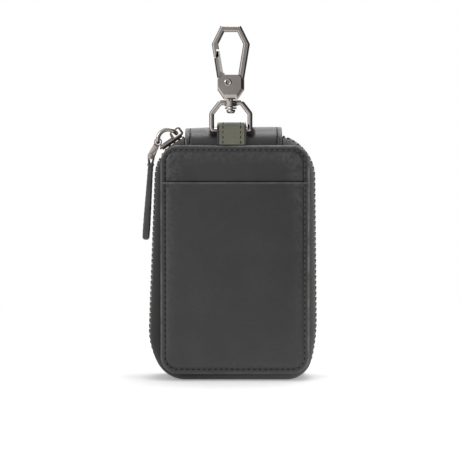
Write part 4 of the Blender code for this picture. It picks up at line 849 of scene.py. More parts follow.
# %% Card pocket
POCKET_TABLE = [
    (0, 0.86), (1.9, 0.86), (2.15, 0.80), (2.40, 0.70), (2.58, 0.80), (2.9, 0.92), (3.6, 1.02),
    (5.2, 1.07), (9, 1.09),
]
POCKET_UNDER_TABLE = [(0, -0.18), (2.5, -0.18), (2.9, 0.10), (3.4, 0.24), (9, 0.28)]
MOUTH_CORNER, MOUTH_LEVEL, MOUTH_ROUND, MOUTH_FOLD = 0.35, 1.04, 0.35, 2.6
pocket_outline = (
    -PANEL_HALF, PANEL_HALF, PANEL_BOTTOM, MOUTH, [PANEL_CORNER, PANEL_CORNER, MOUTH_CORNER, MOUTH_CORNER],
)
POCKET_BASE = -to_case(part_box("card_pocket")[0]).y - 1.10


def pocket_level(x, z):
    """The pocket's outer level."""
    inside, below = edge_distance(x, z), MOUTH - z
    slow = stretched(x, z, 18, 1.3, 0.04) * smooth_share(below, 0, 6)
    level = follow_table(inside, POCKET_TABLE) - rounded_drop(inside, PANEL_ROUND) + slow - 0.02
    fold = 0.03 * smooth_share(below, MOUTH_FOLD, 1.6) if below < MOUTH_FOLD else 0.0
    return min(level, MOUTH_LEVEL - rounded_drop(below, MOUTH_ROUND)) - fold


def pocket_under(x, z):
    """The pocket's inner level: on the rim it lies on the panel, over the padding it stands clear."""
    inside = edge_distance(x, z)
    return follow_table(inside, POCKET_UNDER_TABLE) + rounded_drop(inside, 0.12)


def pocket_wear_and_highlight(point):
    """Wear and a painted highlight on the pocket's turned edge and on its mouth."""
    mouth = 1 - smooth_share(MOUTH - point.z, 0.45, 0.95)
    return max(turned_edge(point), 0.4 * mouth)


shape = make_plate(pocket_outline, pocket_level, pocket_under, -1, POCKET_BASE)
paint(shape, edge=pocket_wear_and_highlight, pucker=seam_folds_and_highlight)
finish_piece("leather_card_pocket", shape, [dark_leather], "front_cover", ["card_pocket"])

# %% [markdown]
# The linings
#
# Inside, each panel is covered with plain cloth that hides the sewn edge of the tape. It is a thin plate
# with a turned hem, made from the same kind of rings.

# %% Linings
LINING_CORNER, LINING_ROUND = 5.0, 0.2
HEM_TURN_TABLE = [(0, 0.18), (1.2, 0.18), (1.5, 0.28), (1.8, 0.12), (3.2, 0.0)]
LINING_INSETS = [0, 0.1, 0.25, 0.6, 1.2, 1.5, 1.8, 2.5, 3.2, 6, 12, 20, 28]


def make_lining(name, side, body):
    """One cloth lining."""
    low, high = (to_case(corner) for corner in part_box(name))
    inner, outer = sorted((abs(low.y), abs(high.y)))
    outline = (low.x, high.x, low.z, high.z, [LINING_CORNER] * 4)
    half_z, middle_z = (high.z - low.z) / 2, (high.z + low.z) / 2

    def inside(x, z):
        return min(high.x - abs(x), half_z - abs(z - middle_z))

    def toward_keys(x, z):
        return follow_table(inside(x, z), HEM_TURN_TABLE) + rounded_drop(inside(x, z), LINING_ROUND)

    def toward_panel(x, z):
        return outer - inner - rounded_drop(inside(x, z), LINING_ROUND / 2)

    shape = make_plate(outline, toward_panel, toward_keys, side, inner, LINING_INSETS)
    finish_piece(f"cloth_{name}", shape, [lining_cloth], body, [name])


make_lining("back_lining", 1, "case_back")
make_lining("front_lining", -1, "front_cover")

# %% [markdown]
# The line of the zip
#
# The zip follows the case: from the left end of the bridge round the first corner, down the left side,
# along the base and up the right side to the bridge's other end. Everything on it is placed by its distance
# along this line, with a direction that points out of the case.

# %% Zip line
QUARTER = math.pi / 2
ZIP_BASE, TOP_ARC, TOP_ARC_X, TOP_ARC_Z, BRIDGE_GAP = 1.1, 18.3, 16.0, 88.3, 0.3
LEFT_TURN = math.acos((BRIDGE_LEFT - BRIDGE_GAP + TOP_ARC_X) / TOP_ARC)
RIGHT_TURN = math.acos((BRIDGE_RIGHT + BRIDGE_GAP - TOP_ARC_X) / TOP_ARC)
LEFT_SPREAD, LEFT_WAIST, RIGHT_SPREAD, RIGHT_WAIST = (math.radians(degrees) for degrees in (2.3, 30, 0.7, 14))


def way_at(turn):
    """The direction at a turn, seen from the front."""
    return Vector((math.cos(turn), 0, math.sin(turn)))


def arc_part(middle, radius, start, end):
    """A round stretch of the line: its length and its places."""
    def place(distance):
        out = way_at(start + distance / radius)
        return Vector(middle) + out * radius, out, Vector((-out.z, 0, out.x))
    return radius * (end - start), place


def straight_part(start, end, out):
    """A straight stretch of the line."""
    start, end = Vector(start), Vector(end)
    along = (end - start).normalized()
    return (end - start).length, lambda distance: (start + along * distance, Vector(out), along)


def zip_side(side, spread, waist, waist_radius, base_radius):
    """One side spreads downward, then draws in to the base: its straight part and its two lower curves."""
    out = Vector((side * math.cos(spread), 0, math.sin(spread)))
    joint = Vector((side * math.cos(waist - spread), 0, -math.sin(waist - spread)))
    high = Vector((side * TOP_ARC_X, 0, TOP_ARC_Z)) + out * TOP_ARC
    level = high.dot(out) - waist_radius - (base_radius - waist_radius) * math.cos(waist)
    low_z = ZIP_BASE + base_radius
    low = Vector(((level - low_z * out.z) / out.x, 0, low_z))
    middle = low + joint * (base_radius - waist_radius)
    knee = middle + out * waist_radius
    if side < 0:
        turns = (math.pi - spread, math.pi - spread + waist, math.pi + QUARTER)
        curves = [arc_part(middle, waist_radius, *turns[:2]), arc_part(low, base_radius, *turns[1:])]
        return [straight_part(high, knee, out), *curves], low.x
    turns = (-QUARTER, spread - waist, spread)
    curves = [arc_part(low, base_radius, *turns[:2]), arc_part(middle, waist_radius, *turns[1:])]
    return [*curves, straight_part(knee, high, out)], low.x


left_side, left_base = zip_side(-1, LEFT_SPREAD, LEFT_WAIST, 27.9, 13.6)
right_side, right_base = zip_side(1, RIGHT_SPREAD, RIGHT_WAIST, 68.9, 10.6)
ZIP_PARTS = [
    arc_part((-TOP_ARC_X, 0, TOP_ARC_Z), TOP_ARC, LEFT_TURN, math.pi - LEFT_SPREAD), *left_side,
    straight_part((left_base, 0, ZIP_BASE), (right_base, 0, ZIP_BASE), (0, 0, -1)), *right_side,
    arc_part((TOP_ARC_X, 0, TOP_ARC_Z), TOP_ARC, RIGHT_SPREAD, RIGHT_TURN),
]
ZIP_LENGTH = sum(length for length, place in ZIP_PARTS)


def on_zip(distance):
    """The place, outward direction and running direction at a distance along the zip."""
    for length, place in ZIP_PARTS[:-1]:
        if distance <= length:
            return place(distance)
        distance -= length
    return ZIP_PARTS[-1][1](distance)


print("zip length in mm:", round(ZIP_LENGTH, 1))

# %% [markdown]
# The woven tape
#
# Each half of the zip is sewn on a woven tape. The tape starts flat behind the panel's edge, bends outward
# and ends between the roots of the teeth. A section of it is drawn once and swept along the line; the sweep
# also writes a flat map in millimetres, along and across the tape, which the herringbone weave needs. The
# tape stops at the bridge.

# %% Tape
TAPE_FACE, TAPE_THICK, TAPE_TEETH_EDGE = PANEL_BACK - 0.3, 0.8, 1.7
TAPE_STEPS = 8


def tuck_in(point, out):
    """How far in from the zip's line the tape passes the back of the panel's edge."""
    near, far = 0.0, 10.0
    for halving in range(24):
        middle = (near + far) / 2
        spot = point - out * middle
        near, far = (middle, far) if edge_distance(spot.x, spot.z) < 1.0 else (near, middle)
    return far


def tape_section(point, out, side):
    """One section of the tape: outer face from the flange to the teeth, then the inner face back."""
    tuck = tuck_in(point, out)
    reach = tuck + 1.1 - 0.8 * (1 - max(0.0, -out.z))
    outer, inner = (
        [(flange, level) for flange in (-3.0, -1.2)] for level in (TAPE_FACE, TAPE_FACE - TAPE_THICK)
    )
    for step in range(TAPE_STEPS + 1):
        turn = QUARTER * step / TAPE_STEPS
        fall = 1 - math.cos(turn)
        outer.append((reach * math.sin(turn), TAPE_FACE - 3.4 * fall))
        inner.append(((reach - TAPE_THICK) * math.sin(turn), TAPE_FACE - TAPE_THICK - 2.6 * fall))
    for depth in (6.4, 4.6, 3.0, TAPE_TEETH_EDGE):
        outer.append((reach, depth))
        inner.append((reach - TAPE_THICK, depth))
    foot = point - out * tuck
    section = [foot + out * across + Vector((0, side * depth, 0)) for across, depth in outer + inner[::-1]]
    return section, running_lengths(section)


def running_lengths(points):
    """The distance along a chain at each of its points."""
    lengths = [0.0]
    for before, after in zip(points, points[1:]):
        lengths.append(lengths[-1] + (after - before).length)
    return lengths


def write_flat_map(shape, rows, distances, widths):
    """The flat map in millimetres, from the distance of each row and the width at each of its points."""
    flat_map = shape.loops.layers.uv.new("flat_mm")
    place_of = {}
    for row, distance, across in zip(rows, distances, widths):
        place_of.update({vertex: (distance, width) for vertex, width in zip(row, across)})
    for face in shape.faces:
        for loop in face.loops:
            loop[flat_map].uv = place_of[loop.vert]


def make_tape(name, side, body):
    """One tape, swept along the zip and trimmed where the bridge stands."""
    shape = bmesh.new()
    stations, travelled = [], 0.0
    for length, place in ZIP_PARTS:
        count = 16 if length < 30 else 24
        stations += [travelled + length * step / count for step in range(count)]
        travelled += length
    stations.append(travelled - 1e-6)
    sections = [tape_section(*on_zip(distance)[:2], side) for distance in stations]
    rows, faces = skin_rings(shape, [section for section, widths in sections])
    write_flat_map(shape, rows, stations, [widths for section, widths in sections])
    for wall, facing in ((BRIDGE_LEFT - BRIDGE_GAP, 1), (BRIDGE_RIGHT + BRIDGE_GAP, -1)):
        centres = [(face, face.calc_center_median()) for face in shape.faces]
        near = [face for face, centre in centres if centre.z > 90 and centre.x * facing < 0]
        parts = {element for face in near for element in [face, *face.edges, *face.verts]}
        cut = {"plane_co": (wall, 0, 0), "plane_no": (facing, 0, 0), "clear_outer": True}
        bmesh.ops.bisect_plane(shape, geom=list(parts), **cut)
    bmesh.ops.holes_fill(shape, edges=[edge for edge in shape.edges if edge.is_boundary])
    finish_piece(f"woven_{name}", shape, [tape_cloth], body, [name])


make_tape("back_zip_tape", 1, "case_back")
make_tape("front_zip_tape", -1, "front_cover")

# %% [markdown]
# The teeth
#
# A metal zip has one tooth every 2.4 millimetres on each tape, and the two rows stand half a step apart so
# that they lock. One tooth is drawn from listed sections: a narrow tip that reaches between its neighbours, a
# neck, and two legs that grip the tape. Geometry Nodes then set it along the line, because the count and the
# spacing follow a rule. The tree reads the outward direction from the line's own attribute, so that each
# tooth stands square to the case.

# %% A line that remembers its outward direction
def make_line(name, points, outwards, closed=False):
    """A chain of edges in the frame, with the outward direction of each point."""
    mesh = bpy.data.meshes.new(name)
    links = [(index, index + 1) for index in range(len(points) - 1)]
    if closed:
        links.append((len(points) - 1, 0))
    mesh.from_pydata([to_frame(point) for point in points], links, [])
    layer = mesh.attributes.new("outward", "FLOAT_VECTOR", "POINT")
    layer.data.foreach_set("vector", [value for out in outwards for value in out])
    return add_object(name, mesh)


def stand_on_line(tree, curve, count, shape, slant=None):
    """Nodes that set a shape on even steps of a curve, along it and facing outward."""
    steps = add_node(tree, "GeometryNodeResampleCurve", {"Curve": curve, "Count": count}).outputs[0]
    outward = add_node(tree, "GeometryNodeInputNamedAttribute", {"Name": "outward"}, data_type="FLOAT_VECTOR")
    tangent = add_node(tree, "GeometryNodeInputTangent").outputs[0]
    align = "FunctionNodeAlignRotationToVector"
    upright = add_node(tree, align, {"Vector": outward.outputs["Attribute"]}, axis="Z").outputs[0]
    turned = add_node(tree, align, {"Rotation": upright, "Vector": tangent}, axis="X", pivot_axis="Z")
    turn = turned.outputs[0]
    if slant is not None:
        about_z = add_node(tree, "ShaderNodeCombineXYZ", {"Z": slant}).outputs[0]
        lean = add_node(tree, "FunctionNodeEulerToRotation", {0: about_z}).outputs[0]
        turn = add_node(
            tree, "FunctionNodeRotateRotation", {0: turn, 1: lean}, rotation_space="LOCAL",
        ).outputs[0]
    placed = add_node(
        tree, "GeometryNodeInstanceOnPoints", {"Points": steps, "Instance": shape, "Rotation": turn},
    )
    return add_node(tree, "GeometryNodeRealizeInstances", {0: placed.outputs[0]}).outputs[0]


def run_tree(line, group, values, name):
    """The tree's result on a line as a plain mesh, with the line removed."""
    modifier = line.modifiers.new("repeat", "NODES")
    modifier.node_group = group
    sockets = {item.name: item.identifier for item in group.interface.items_tree if item.in_out == "INPUT"}
    for title, value in values.items():
        modifier[sockets[title]] = value
    mesh = applied_mesh(line, name)
    line.modifiers.remove(modifier)
    bpy.data.objects.remove(line)
    return mesh


def start_line_tree(name, more):
    """A tree that repeats a shape along a line: its ends, and the line as a curve."""
    inputs = [("Geometry", GEOMETRY, None), ("Count", INTEGER, 10), ("Finish", MATERIAL, None), *more]
    group, given, end = start_group(name, "GeometryNodeTree", inputs, [("Geometry", GEOMETRY)])
    return group, given, end, add_node(
        group, "GeometryNodeMeshToCurve", {"Mesh": given["Geometry"]},
    ).outputs[0]


def end_line_tree(group, given, end, shape):
    """The repeated shape with its finish, as the tree's result."""
    inputs = {"Geometry": shape, "Material": given["Finish"]}
    end_group(group, end, {"Geometry": add_node(group, "GeometryNodeSetMaterial", inputs).outputs[0]})
    return group


def applied_mesh(source, name):
    """The mesh of an object with its modifiers applied."""
    mesh = bpy.data.meshes.new_from_object(source.evaluated_get(bpy.context.evaluated_depsgraph_get()))
    mesh.name = name
    return mesh


# %% One tooth, and the tree that repeats it
TOOTH_SECTIONS = [
    (-0.85, 0.30, 0.45), (-0.62, 0.42, 0.70), (-0.10, 0.48, 0.82), (0.40, 0.44, 0.86),
    (0.85, 0.58, 1.10), (2.55, 0.60, 1.10), (2.80, 0.48, 0.98),
]
TOOTH_CUT = 0.16


def cut_corners(half_x, half_z, cut):
    """A rectangle with its four corners cut off."""
    near_x, near_z = half_x - cut, half_z - cut
    return [
        (-half_x, -near_z), (-near_x, -half_z), (near_x, -half_z), (half_x, -near_z),
        (half_x, near_z), (near_x, half_z), (-near_x, half_z), (-half_x, near_z),
    ]


def make_tooth(side):
    """One tooth: X along the zip, Y across from tip to legs, Z out of the case."""
    shape = bmesh.new()
    skin_rings(shape, [
        [(x * MM, -side * across * MM, z * MM) for x, z in cut_corners(half_width, half_depth, TOOTH_CUT)]
        for across, half_width, half_depth in TOOTH_SECTIONS
    ])
    bmesh.ops.recalc_face_normals(shape, faces=shape.faces)
    return add_object("tooth", to_mesh("tooth", shape))


def make_teeth_tree():
    """Teeth in even steps along a line."""
    group, given, end, curve = start_line_tree("teeth_along_line", [("Tooth", OBJECT, None)])
    pattern = add_node(group, "GeometryNodeObjectInfo", {"Object": given["Tooth"]}).outputs["Geometry"]
    return end_line_tree(group, given, end, stand_on_line(group, curve, given["Count"], pattern))


TEETH_TREE = make_teeth_tree()

# %% Two rows of teeth
TOOTH_PITCH, STOP_WIDTH, STOP_GAP = 2.4, 0.9, 0.3
SLIDER_TURN, SLIDER_REACH, SLIDER_LEVEL = math.radians(124.5), 6.6, 1.1
LINE_STEPS = 600
back_start = STOP_WIDTH + STOP_GAP
slider_rear = SLIDER_TURN + math.atan(SLIDER_REACH / (TOP_ARC + SLIDER_LEVEL))
pitches_hidden = math.ceil(((slider_rear - LEFT_TURN) * TOP_ARC - back_start) / TOOTH_PITCH)
front_start = back_start + TOOTH_PITCH * (pitches_hidden + 0.5)
teeth_end = ZIP_LENGTH - STOP_WIDTH - STOP_GAP


def make_teeth(name, side, start, body):
    """One row of teeth on its tape."""
    count = int((teeth_end - start) / TOOTH_PITCH)
    first, last = start + TOOTH_PITCH / 2, start + TOOTH_PITCH * (count - 0.5)
    places = [on_zip(first + (last - first) * step / LINE_STEPS) for step in range(LINE_STEPS + 1)]
    line = make_line(name, [place[0] for place in places], [place[1] for place in places])
    tooth = make_tooth(side)
    mesh = run_tree(line, TEETH_TREE, {"Tooth": tooth, "Count": count, "Finish": zip_metal}, name)
    bpy.data.objects.remove(tooth)
    print("teeth in the row:", count)
    dress_mesh(f"teeth_{name}", mesh, [zip_metal], body, [name], 30)


make_teeth("back_zip_chain", 1, back_start, "case_back")
make_teeth("front_zip_chain", -1, front_start, "front_cover")

# %% [markdown]
# The cord in the tape's edge
#
# The legs of the teeth grip a thick cord that is woven into the edge of the tape. It shows between the
# teeth, so it is a thin tube along the same line, covered with the tape's weave.

# %% Cord
CORD_RADIUS, CORD_SIDES, CORD_STEPS, CORD_SIDE_WIDTH = 0.55, 10, 170, 0.35


def make_edge_cord(name, side, start, body):
    """The corded edge of one tape, a round tube along the zip's line."""
    distances = [start + (teeth_end - start) * step / CORD_STEPS for step in range(CORD_STEPS + 1)]
    turns = [math.tau * index / CORD_SIDES for index in range(CORD_SIDES)]
    rings = []
    for distance in distances:
        point, out, along = on_zip(distance)
        middle = point + Vector((0, side * TAPE_TEETH_EDGE, 0)) - out * 0.1 * (1 - max(0, -out.z))
        across = along.cross(out).normalized()
        rings.append(
            [middle + (out * math.cos(turn) + across * math.sin(turn)) * CORD_RADIUS for turn in turns]
        )
    shape = bmesh.new()
    rows, faces = skin_rings(shape, rings)
    widths = [index * CORD_SIDE_WIDTH for index in range(CORD_SIDES)]
    write_flat_map(shape, rows, distances, [widths] * len(rows))
    finish_piece(name, shape, [tape_cloth], body)


make_edge_cord("back_edge_cord", 1, back_start, "case_back")
make_edge_cord("front_edge_cord", -1, front_start, "front_cover")

# %% [markdown]
# Stitches
#
# A sewn seam is a row of short threads that dip into the leather at both ends. A tree with a small curved
# tube sets them in even steps on a line, each turned along the seam and leaning a few degrees, as a
# machine's lockstitch does. The length, the thread and the lean are inputs, so one tree serves every seam
# on the object.

# %% The seam's tree
def make_seam_tree():
    """Stitches in even steps along a line."""
    sizes = {"Stitch Length": 0.0018, "Thread Radius": 0.0002, "Rise": 0.0002, "Sink": 0.0003, "Lean": 0.12}
    inputs = [(title, FLOAT, size) for title, size in sizes.items()]
    group, given, end, curve = start_line_tree("seam_along_line", inputs)
    half = times(group, given["Stitch Length"], 0.5)
    down = times(group, given["Sink"], -1.0)
    start = add_node(group, "ShaderNodeCombineXYZ", {"X": times(group, half, -1.0), "Z": down}).outputs[0]
    finish = add_node(group, "ShaderNodeCombineXYZ", {"X": half, "Z": down}).outputs[0]
    crown = add_node(group, "ShaderNodeCombineXYZ", {"Z": given["Rise"]}).outputs[0]
    bow_inputs = {"Resolution": 6, "Start": start, "Middle": crown, "End": finish}
    bow = add_node(group, "GeometryNodeCurveQuadraticBezier", bow_inputs).outputs[0]
    ring_inputs = {"Resolution": 6, "Radius": given["Thread Radius"]}
    ring = add_node(group, "GeometryNodeCurvePrimitiveCircle", ring_inputs).outputs[0]
    tube = {"Curve": bow, "Profile Curve": ring, "Fill Caps": True}
    stitch = add_node(group, "GeometryNodeCurveToMesh", tube).outputs[0]
    seam = stand_on_line(group, curve, given["Count"], stitch, given["Lean"])
    smooth = add_node(group, "GeometryNodeSetShadeSmooth", {"Geometry": seam}).outputs[0]
    return end_line_tree(group, given, end, smooth)


SEAM_TREE = make_seam_tree()


def line_length(points, closed=False):
    """The length of a chain of points."""
    pairs = list(zip(points, points[1:]))
    if closed:
        pairs.append((points[-1], points[0]))
    return sum((Vector(after) - Vector(before)).length for before, after in pairs)


STITCH_SINK = 0.30


def sew(name, rows, pitch, body, slot="dark_leather", length=1.5, radius=0.205, rise=0.28, closed=False):
    """Seams along rows of points and outward directions, as one piece."""
    sizes = {"Stitch Length": length, "Thread Radius": radius, "Rise": rise, "Sink": STITCH_SINK}
    shape = bmesh.new()
    for index, (points, outwards) in enumerate(rows):
        count = max(2, round(line_length(points, closed) / pitch) + (0 if closed else 1))
        line = make_line(f"{name}_{index}", points, outwards, closed)
        values = {title: size * MM for title, size in sizes.items()}
        part = run_tree(line, SEAM_TREE, {**values, "Count": count, "Finish": thread}, name)
        shape.from_mesh(part)
        bpy.data.meshes.remove(part)
    dress_mesh(name, to_mesh(name, shape), [thread], body, (), 60, slot)


# %% Seams of the panels
SEAM_INSET, SEAM_PITCH = 2.0, 2.45
ring = parallel_ring(panel_outline, SEAM_INSET, 14, (40, 60))
level = panel_level(BACK_SEED)
back_points = [(x, PANEL_BACK + level(x, z), z) for x, z in ring]
sew("back_panel_seam", [(back_points, [(0, 1, 0)] * len(ring))], SEAM_PITCH, "case_back", closed=True)

level = panel_level(FRONT_SEED)
over = sorted((p for p in ring if p[1] > MOUTH + 1.0), key=lambda p: math.atan2(p[1] - MOUTH, p[0]))
under = sorted((p for p in ring if p[1] < MOUTH - 0.9), key=lambda p: math.atan2(-p[0], MOUTH - p[1]))
over_points = [(x, -PANEL_BACK - level(x, z), z) for x, z in over]
under_points = [(x, -POCKET_BASE - pocket_level(x, z), z) for x, z in under]
front_rows = [(points, [(0, -1, 0)] * len(points)) for points in (over_points, under_points)]
sew("front_panel_seam", front_rows, SEAM_PITCH, "front_cover")

# %% [markdown]
# The bridge over the top
#
# The zip can't run under the snap hook, so a leather bridge closes the case there. It is an arch of stiff
# leather with both ends turned under and sewn. The arch is swept from left to right; near each end its
# level drops with the turned edge and dips at the seam.

# %% Bridge
BRIDGE_DEPTH, BRIDGE_THICK, ARCH_STEPS = PANEL_BACK - 0.3, 1.5, 44
BRIDGE_RISE = (bridge_box[1].z - front_box[1].z) / MM
BRIDGE_FOOT, FOOT_TOP = bridge_box[0].z / MM, PANEL_TOP - 1.5
HEM_TABLE = [(0, -0.02), (1.6, -0.02), (1.9, -0.10), (2.15, -0.24), (2.4, -0.10), (2.7, 0.0), (60, 0.0)]
HEM_SEAM = 2.15
BRIDGE_INSETS = [
    0, 0.05, 0.15, 0.3, 0.5, 0.8, 1.2, 1.6, 1.8, 2.0, 2.15, 2.3, 2.5, 2.7, 3.2, 4.2, 6, 8, 10,
    12.5, 15, 17.5, 20,
]
HOLLOWS, HOLLOW_HEIGHT = (-9.3, 7.0), 108.5


def arch_point(turn, offset=0.0, rise=BRIDGE_RISE):
    """A point of the arch at a turn from the front, moved out along its normal, as depth and height."""
    depth, height = -BRIDGE_DEPTH * math.cos(turn), rise * math.sin(turn)
    normal = Vector((depth / BRIDGE_DEPTH**2, height / rise**2)).normalized()
    return Vector((depth, PANEL_TOP + height)) + normal * offset, normal


BRIDGE_DIP, DIP_START, DIP_END = 0.60, 6, 22


def bridge_rise(x):
    """The bridge is pulled down slightly toward its left end."""
    return BRIDGE_RISE - BRIDGE_DIP * smooth_share(-x, DIP_START, DIP_END)


def bridge_line(x, offset):
    """One face of the bridge at a place across it, from the front foot to the back foot."""
    turns = [math.pi * (0.004 + 0.992 * step / ARCH_STEPS) for step in range(ARCH_STEPS + 1)]
    arch = [arch_point(turn, offset, bridge_rise(x))[0] for turn in turns]
    reach = BRIDGE_DEPTH + offset
    front, back = (
        [Vector((depth, height)) for height in (BRIDGE_FOOT, FOOT_TOP)] for depth in (-reach, reach)
    )
    return front + arch + back[::-1]


def from_end(x):
    """How far a place lies from the nearer end of the bridge."""
    return min(x - BRIDGE_LEFT, BRIDGE_RIGHT - x)


def bridge_level(x):
    """How far the bridge's face lies below its full level at a place across it."""
    return follow_table(from_end(x), HEM_TABLE) - rounded_drop(from_end(x), PANEL_ROUND) - 0.02


def bridge_edge(point):
    """Wear and a painted highlight along the bridge's two ends."""
    return 1 - smooth_share(from_end(point.x), 0.3, 0.9)


def hollow_soil(point):
    """Painted shade in the two hollows where the eye's ends go in beside the strap."""
    away = min(math.hypot(point.x - middle, 0.8 * (point.z - HOLLOW_HEIGHT)) for middle in HOLLOWS)
    return (1 - smooth_share(away, 1.3, 2.4)) * smooth_share(-point.y, 0, 4)


across_places = [BRIDGE_LEFT + inset for inset in BRIDGE_INSETS]
across_places += [BRIDGE_RIGHT - inset for inset in BRIDGE_INSETS]
across_places += [middle + 0.5 * step for middle in HOLLOWS for step in range(-5, 6)]
rings = []
for x in sorted(across_places):
    inner = bridge_line(x, -BRIDGE_THICK + rounded_drop(from_end(x), 0.4))
    slow = noise.noise(Vector((x / 9, 0, 5.0))) * 0.05
    section = bridge_line(x, bridge_level(x)) + inner[::-1]
    rings.append([(x, y, z + (slow if z > PANEL_TOP else 0)) for y, z in section])
shape = bmesh.new()
skin_rings(shape, rings)
# The bridge's ends get wear and a painted highlight, and its two hollows get painted shade.
paint(shape, edge=bridge_edge, soil=hollow_soil)
finish_piece("leather_bridge", shape, [dark_leather], "case_back", ["top_bridge"])

rows = []
for x in (BRIDGE_LEFT + HEM_SEAM, BRIDGE_RIGHT - HEM_SEAM):
    turns = [math.pi * (0.06 + 0.88 * step / 40) for step in range(41)]
    spots = [arch_point(turn, bridge_level(x) + 0.05, bridge_rise(x)) for turn in turns]
    rows.append(([(x, *spot) for spot, normal in spots], [(0, *normal) for spot, normal in spots]))
sew("bridge_seam", rows, 2.3, "case_back", radius=0.26)

# %% [markdown]
# The strap over the bridge
#
# The strap is two layers: a dark backing and the olive face, glued, painted along their cut edges and sewn.
# It runs from the front seam over the bar of the swivel eye and down to the back seam. A taut strap follows
# the hull of what it lies on, so the lesson finds that hull from points of the arch and of the bar, then
# sweeps the two layers on it.

# %% The taut line
strap_low, strap_high = (to_case(corner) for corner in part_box("loop_strap"))
STRAP_MIDDLE = (strap_low.x + strap_high.x) / 2
EYE_WIRE, EYE_SEAT, STRAP_GAP = 2.2, math.radians(43), 0.3
eye_bar = arch_point(EYE_SEAT, EYE_WIRE / 2 + STRAP_GAP)[0]


def taut_line():
    """The line of a strap drawn taut over the bridge and the bar, as depth and height."""
    first = math.asin(STRAP_GAP / BRIDGE_RISE)
    props = [arch_point(first + (math.pi - 2 * first) * step / 60, STRAP_GAP)[0] for step in range(61)]
    for step in range(48):
        turn = math.tau * step / 48
        props.append(eye_bar + Vector((math.cos(turn), math.sin(turn))) * (EYE_WIRE / 2 + STRAP_GAP))
    hull = []
    for prop in sorted(props, key=lambda point: (point.x, point.y)):
        while len(hull) > 1 and (hull[-1] - hull[-2]).cross(prop - hull[-2]) >= 0:
            hull.pop()
        hull.append(prop)
    return [point for point in hull if point.y >= PANEL_TOP + 0.15]


def even_line(line, count):
    """The same line in even steps."""
    lengths = running_lengths(line)
    result = []
    for step in range(count + 1):
        goal = lengths[-1] * step / count
        index = next((i for i in range(1, len(lengths)) if lengths[i] >= goal - 1e-9), len(lengths) - 1)
        span = lengths[index] - lengths[index - 1]
        share = (goal - lengths[index - 1]) / span if span else 0
        result.append(line[index - 1].lerp(line[index], share))
    return result


def outward_of(line, index):
    """The outward direction of a line in depth and height, level at its two ends."""
    if index in (0, len(line) - 1):
        return Vector((math.copysign(1, line[index].x), 0))
    along = (line[min(index + 1, len(line) - 1)] - line[max(index - 1, 0)]).normalized()
    return Vector((-along.y, along.x))


STRAP_STEPS = 90
strap_line = even_line(taut_line(), STRAP_STEPS)
print("strap line in mm:", round(line_length(strap_line), 1))


# %% Strap layers
STRAP_THICK, STRAP_WIDTH, BACKING_WIDTH, STRAP_SEAM, PAINTED = 0.7, 12.6, 13.0, 2.45, 0.7
GROOVE_DEPTH, GROOVE_WIDTH, STRAP_SEAM_LEVEL = 0.12, 0.22, 1.62
STRAP_INSETS = [0, 0.06, 0.16, 0.3, 0.45, 0.9, 1.5, 2.1, 2.3, 2.45, 2.6, 2.8, 3.4, 4.6]


def make_strap_layer(name, node, inner, width, finishes, crown):
    """One layer: its section across is crowned, with painted edges."""
    half = width / 2
    normals = [outward_of(strap_line, index) for index in range(len(strap_line))]
    rings = []
    for x in [-half + inset for inset in STRAP_INSETS] + [half - inset for inset in STRAP_INSETS[::-1]]:
        inside = half - abs(x)
        top = inner + STRAP_THICK - rounded_drop(inside, 0.3)
        if crown:
            groove = GROOVE_DEPTH * math.exp(-((inside - STRAP_SEAM) / GROOVE_WIDTH) ** 2)
            top -= groove + (0.08 if 0.3 < inside < 2.2 else 0.0)
        low = inner + rounded_drop(inside, 0.15)
        outer_line, inner_line = (
            [spot + out * level for spot, out in zip(strap_line, normals)] for level in (top, low)
        )
        rings.append([(STRAP_MIDDLE + x, *point) for point in outer_line + inner_line[::-1]])
    shape = bmesh.new()
    skin_rings(shape, rings)
    paint(shape, edge=lambda point: 0.5 * (1 - smooth_share(half - abs(point.x - STRAP_MIDDLE), 0.3, 0.8)))
    for face in shape.faces:
        if half - abs(face.calc_center_median().x - STRAP_MIDDLE) < PAINTED:
            face.material_index = 1
    finish_piece(name, shape, finishes, "case_back", [node], 50)


make_strap_layer("strap_under_layer", "strap_backing", 0.0, BACKING_WIDTH, [dark_leather, edge_paint], False)
make_strap_layer("strap_olive_layer", "loop_strap", 1.0, STRAP_WIDTH, [olive_leather, edge_paint], True)
rows = []
for side in (-1, 1):
    x = STRAP_MIDDLE + side * (STRAP_WIDTH / 2 - STRAP_SEAM)
    places = [(strap_line[index], outward_of(strap_line, index)) for index in range(2, len(strap_line) - 2)]
    points = [(x, *(spot + out * STRAP_SEAM_LEVEL)) for spot, out in places]
    rows.append((points, [(0, *out) for spot, out in places]))
sew("strap_seam", rows, 2.2, "case_back", "olive_leather", length=1.4, radius=0.21)

# %% [markdown]
# The swivel eye
#
# The eye is a cast ring with six corners. Its bar has narrow front and back faces and two facets at each
# corner, which catch the light as thin bands. The bored hub in its top bar turns on the post, with a groove
# round its waist.

# %% Rounded closed paths
def round_corners(corners, radius, steps=6):
    """A closed path through corners in the plane, each rounded."""
    path = []
    for index, corner in enumerate(corners):
        point = Vector(corner)
        before = (Vector(corners[index - 1]) - point).normalized()
        after = (Vector(corners[(index + 1) % len(corners)]) - point).normalized()
        half_angle = before.angle(after) / 2
        reach = radius / math.tan(half_angle)
        centre = point + (before + after).normalized() * (radius / math.sin(half_angle))
        start, end = point + before * reach - centre, point + after * reach - centre
        path += [centre + start.slerp(end, step / steps).normalized() * radius for step in range(steps + 1)]
    return path


def sweep_bar(shape, points, normals, section):
    """A closed bar through points, with its section given as across and out along each point's normal."""
    rings = []
    for index, point in enumerate(points):
        along = (points[(index + 1) % len(points)] - points[index - 1]).normalized()
        across = along.cross(normals[index]).normalized()
        outward = across.cross(along)
        rings.append([point + across * a + outward * b for a, b in section])
    skin_rings(shape, rings, closed=True)


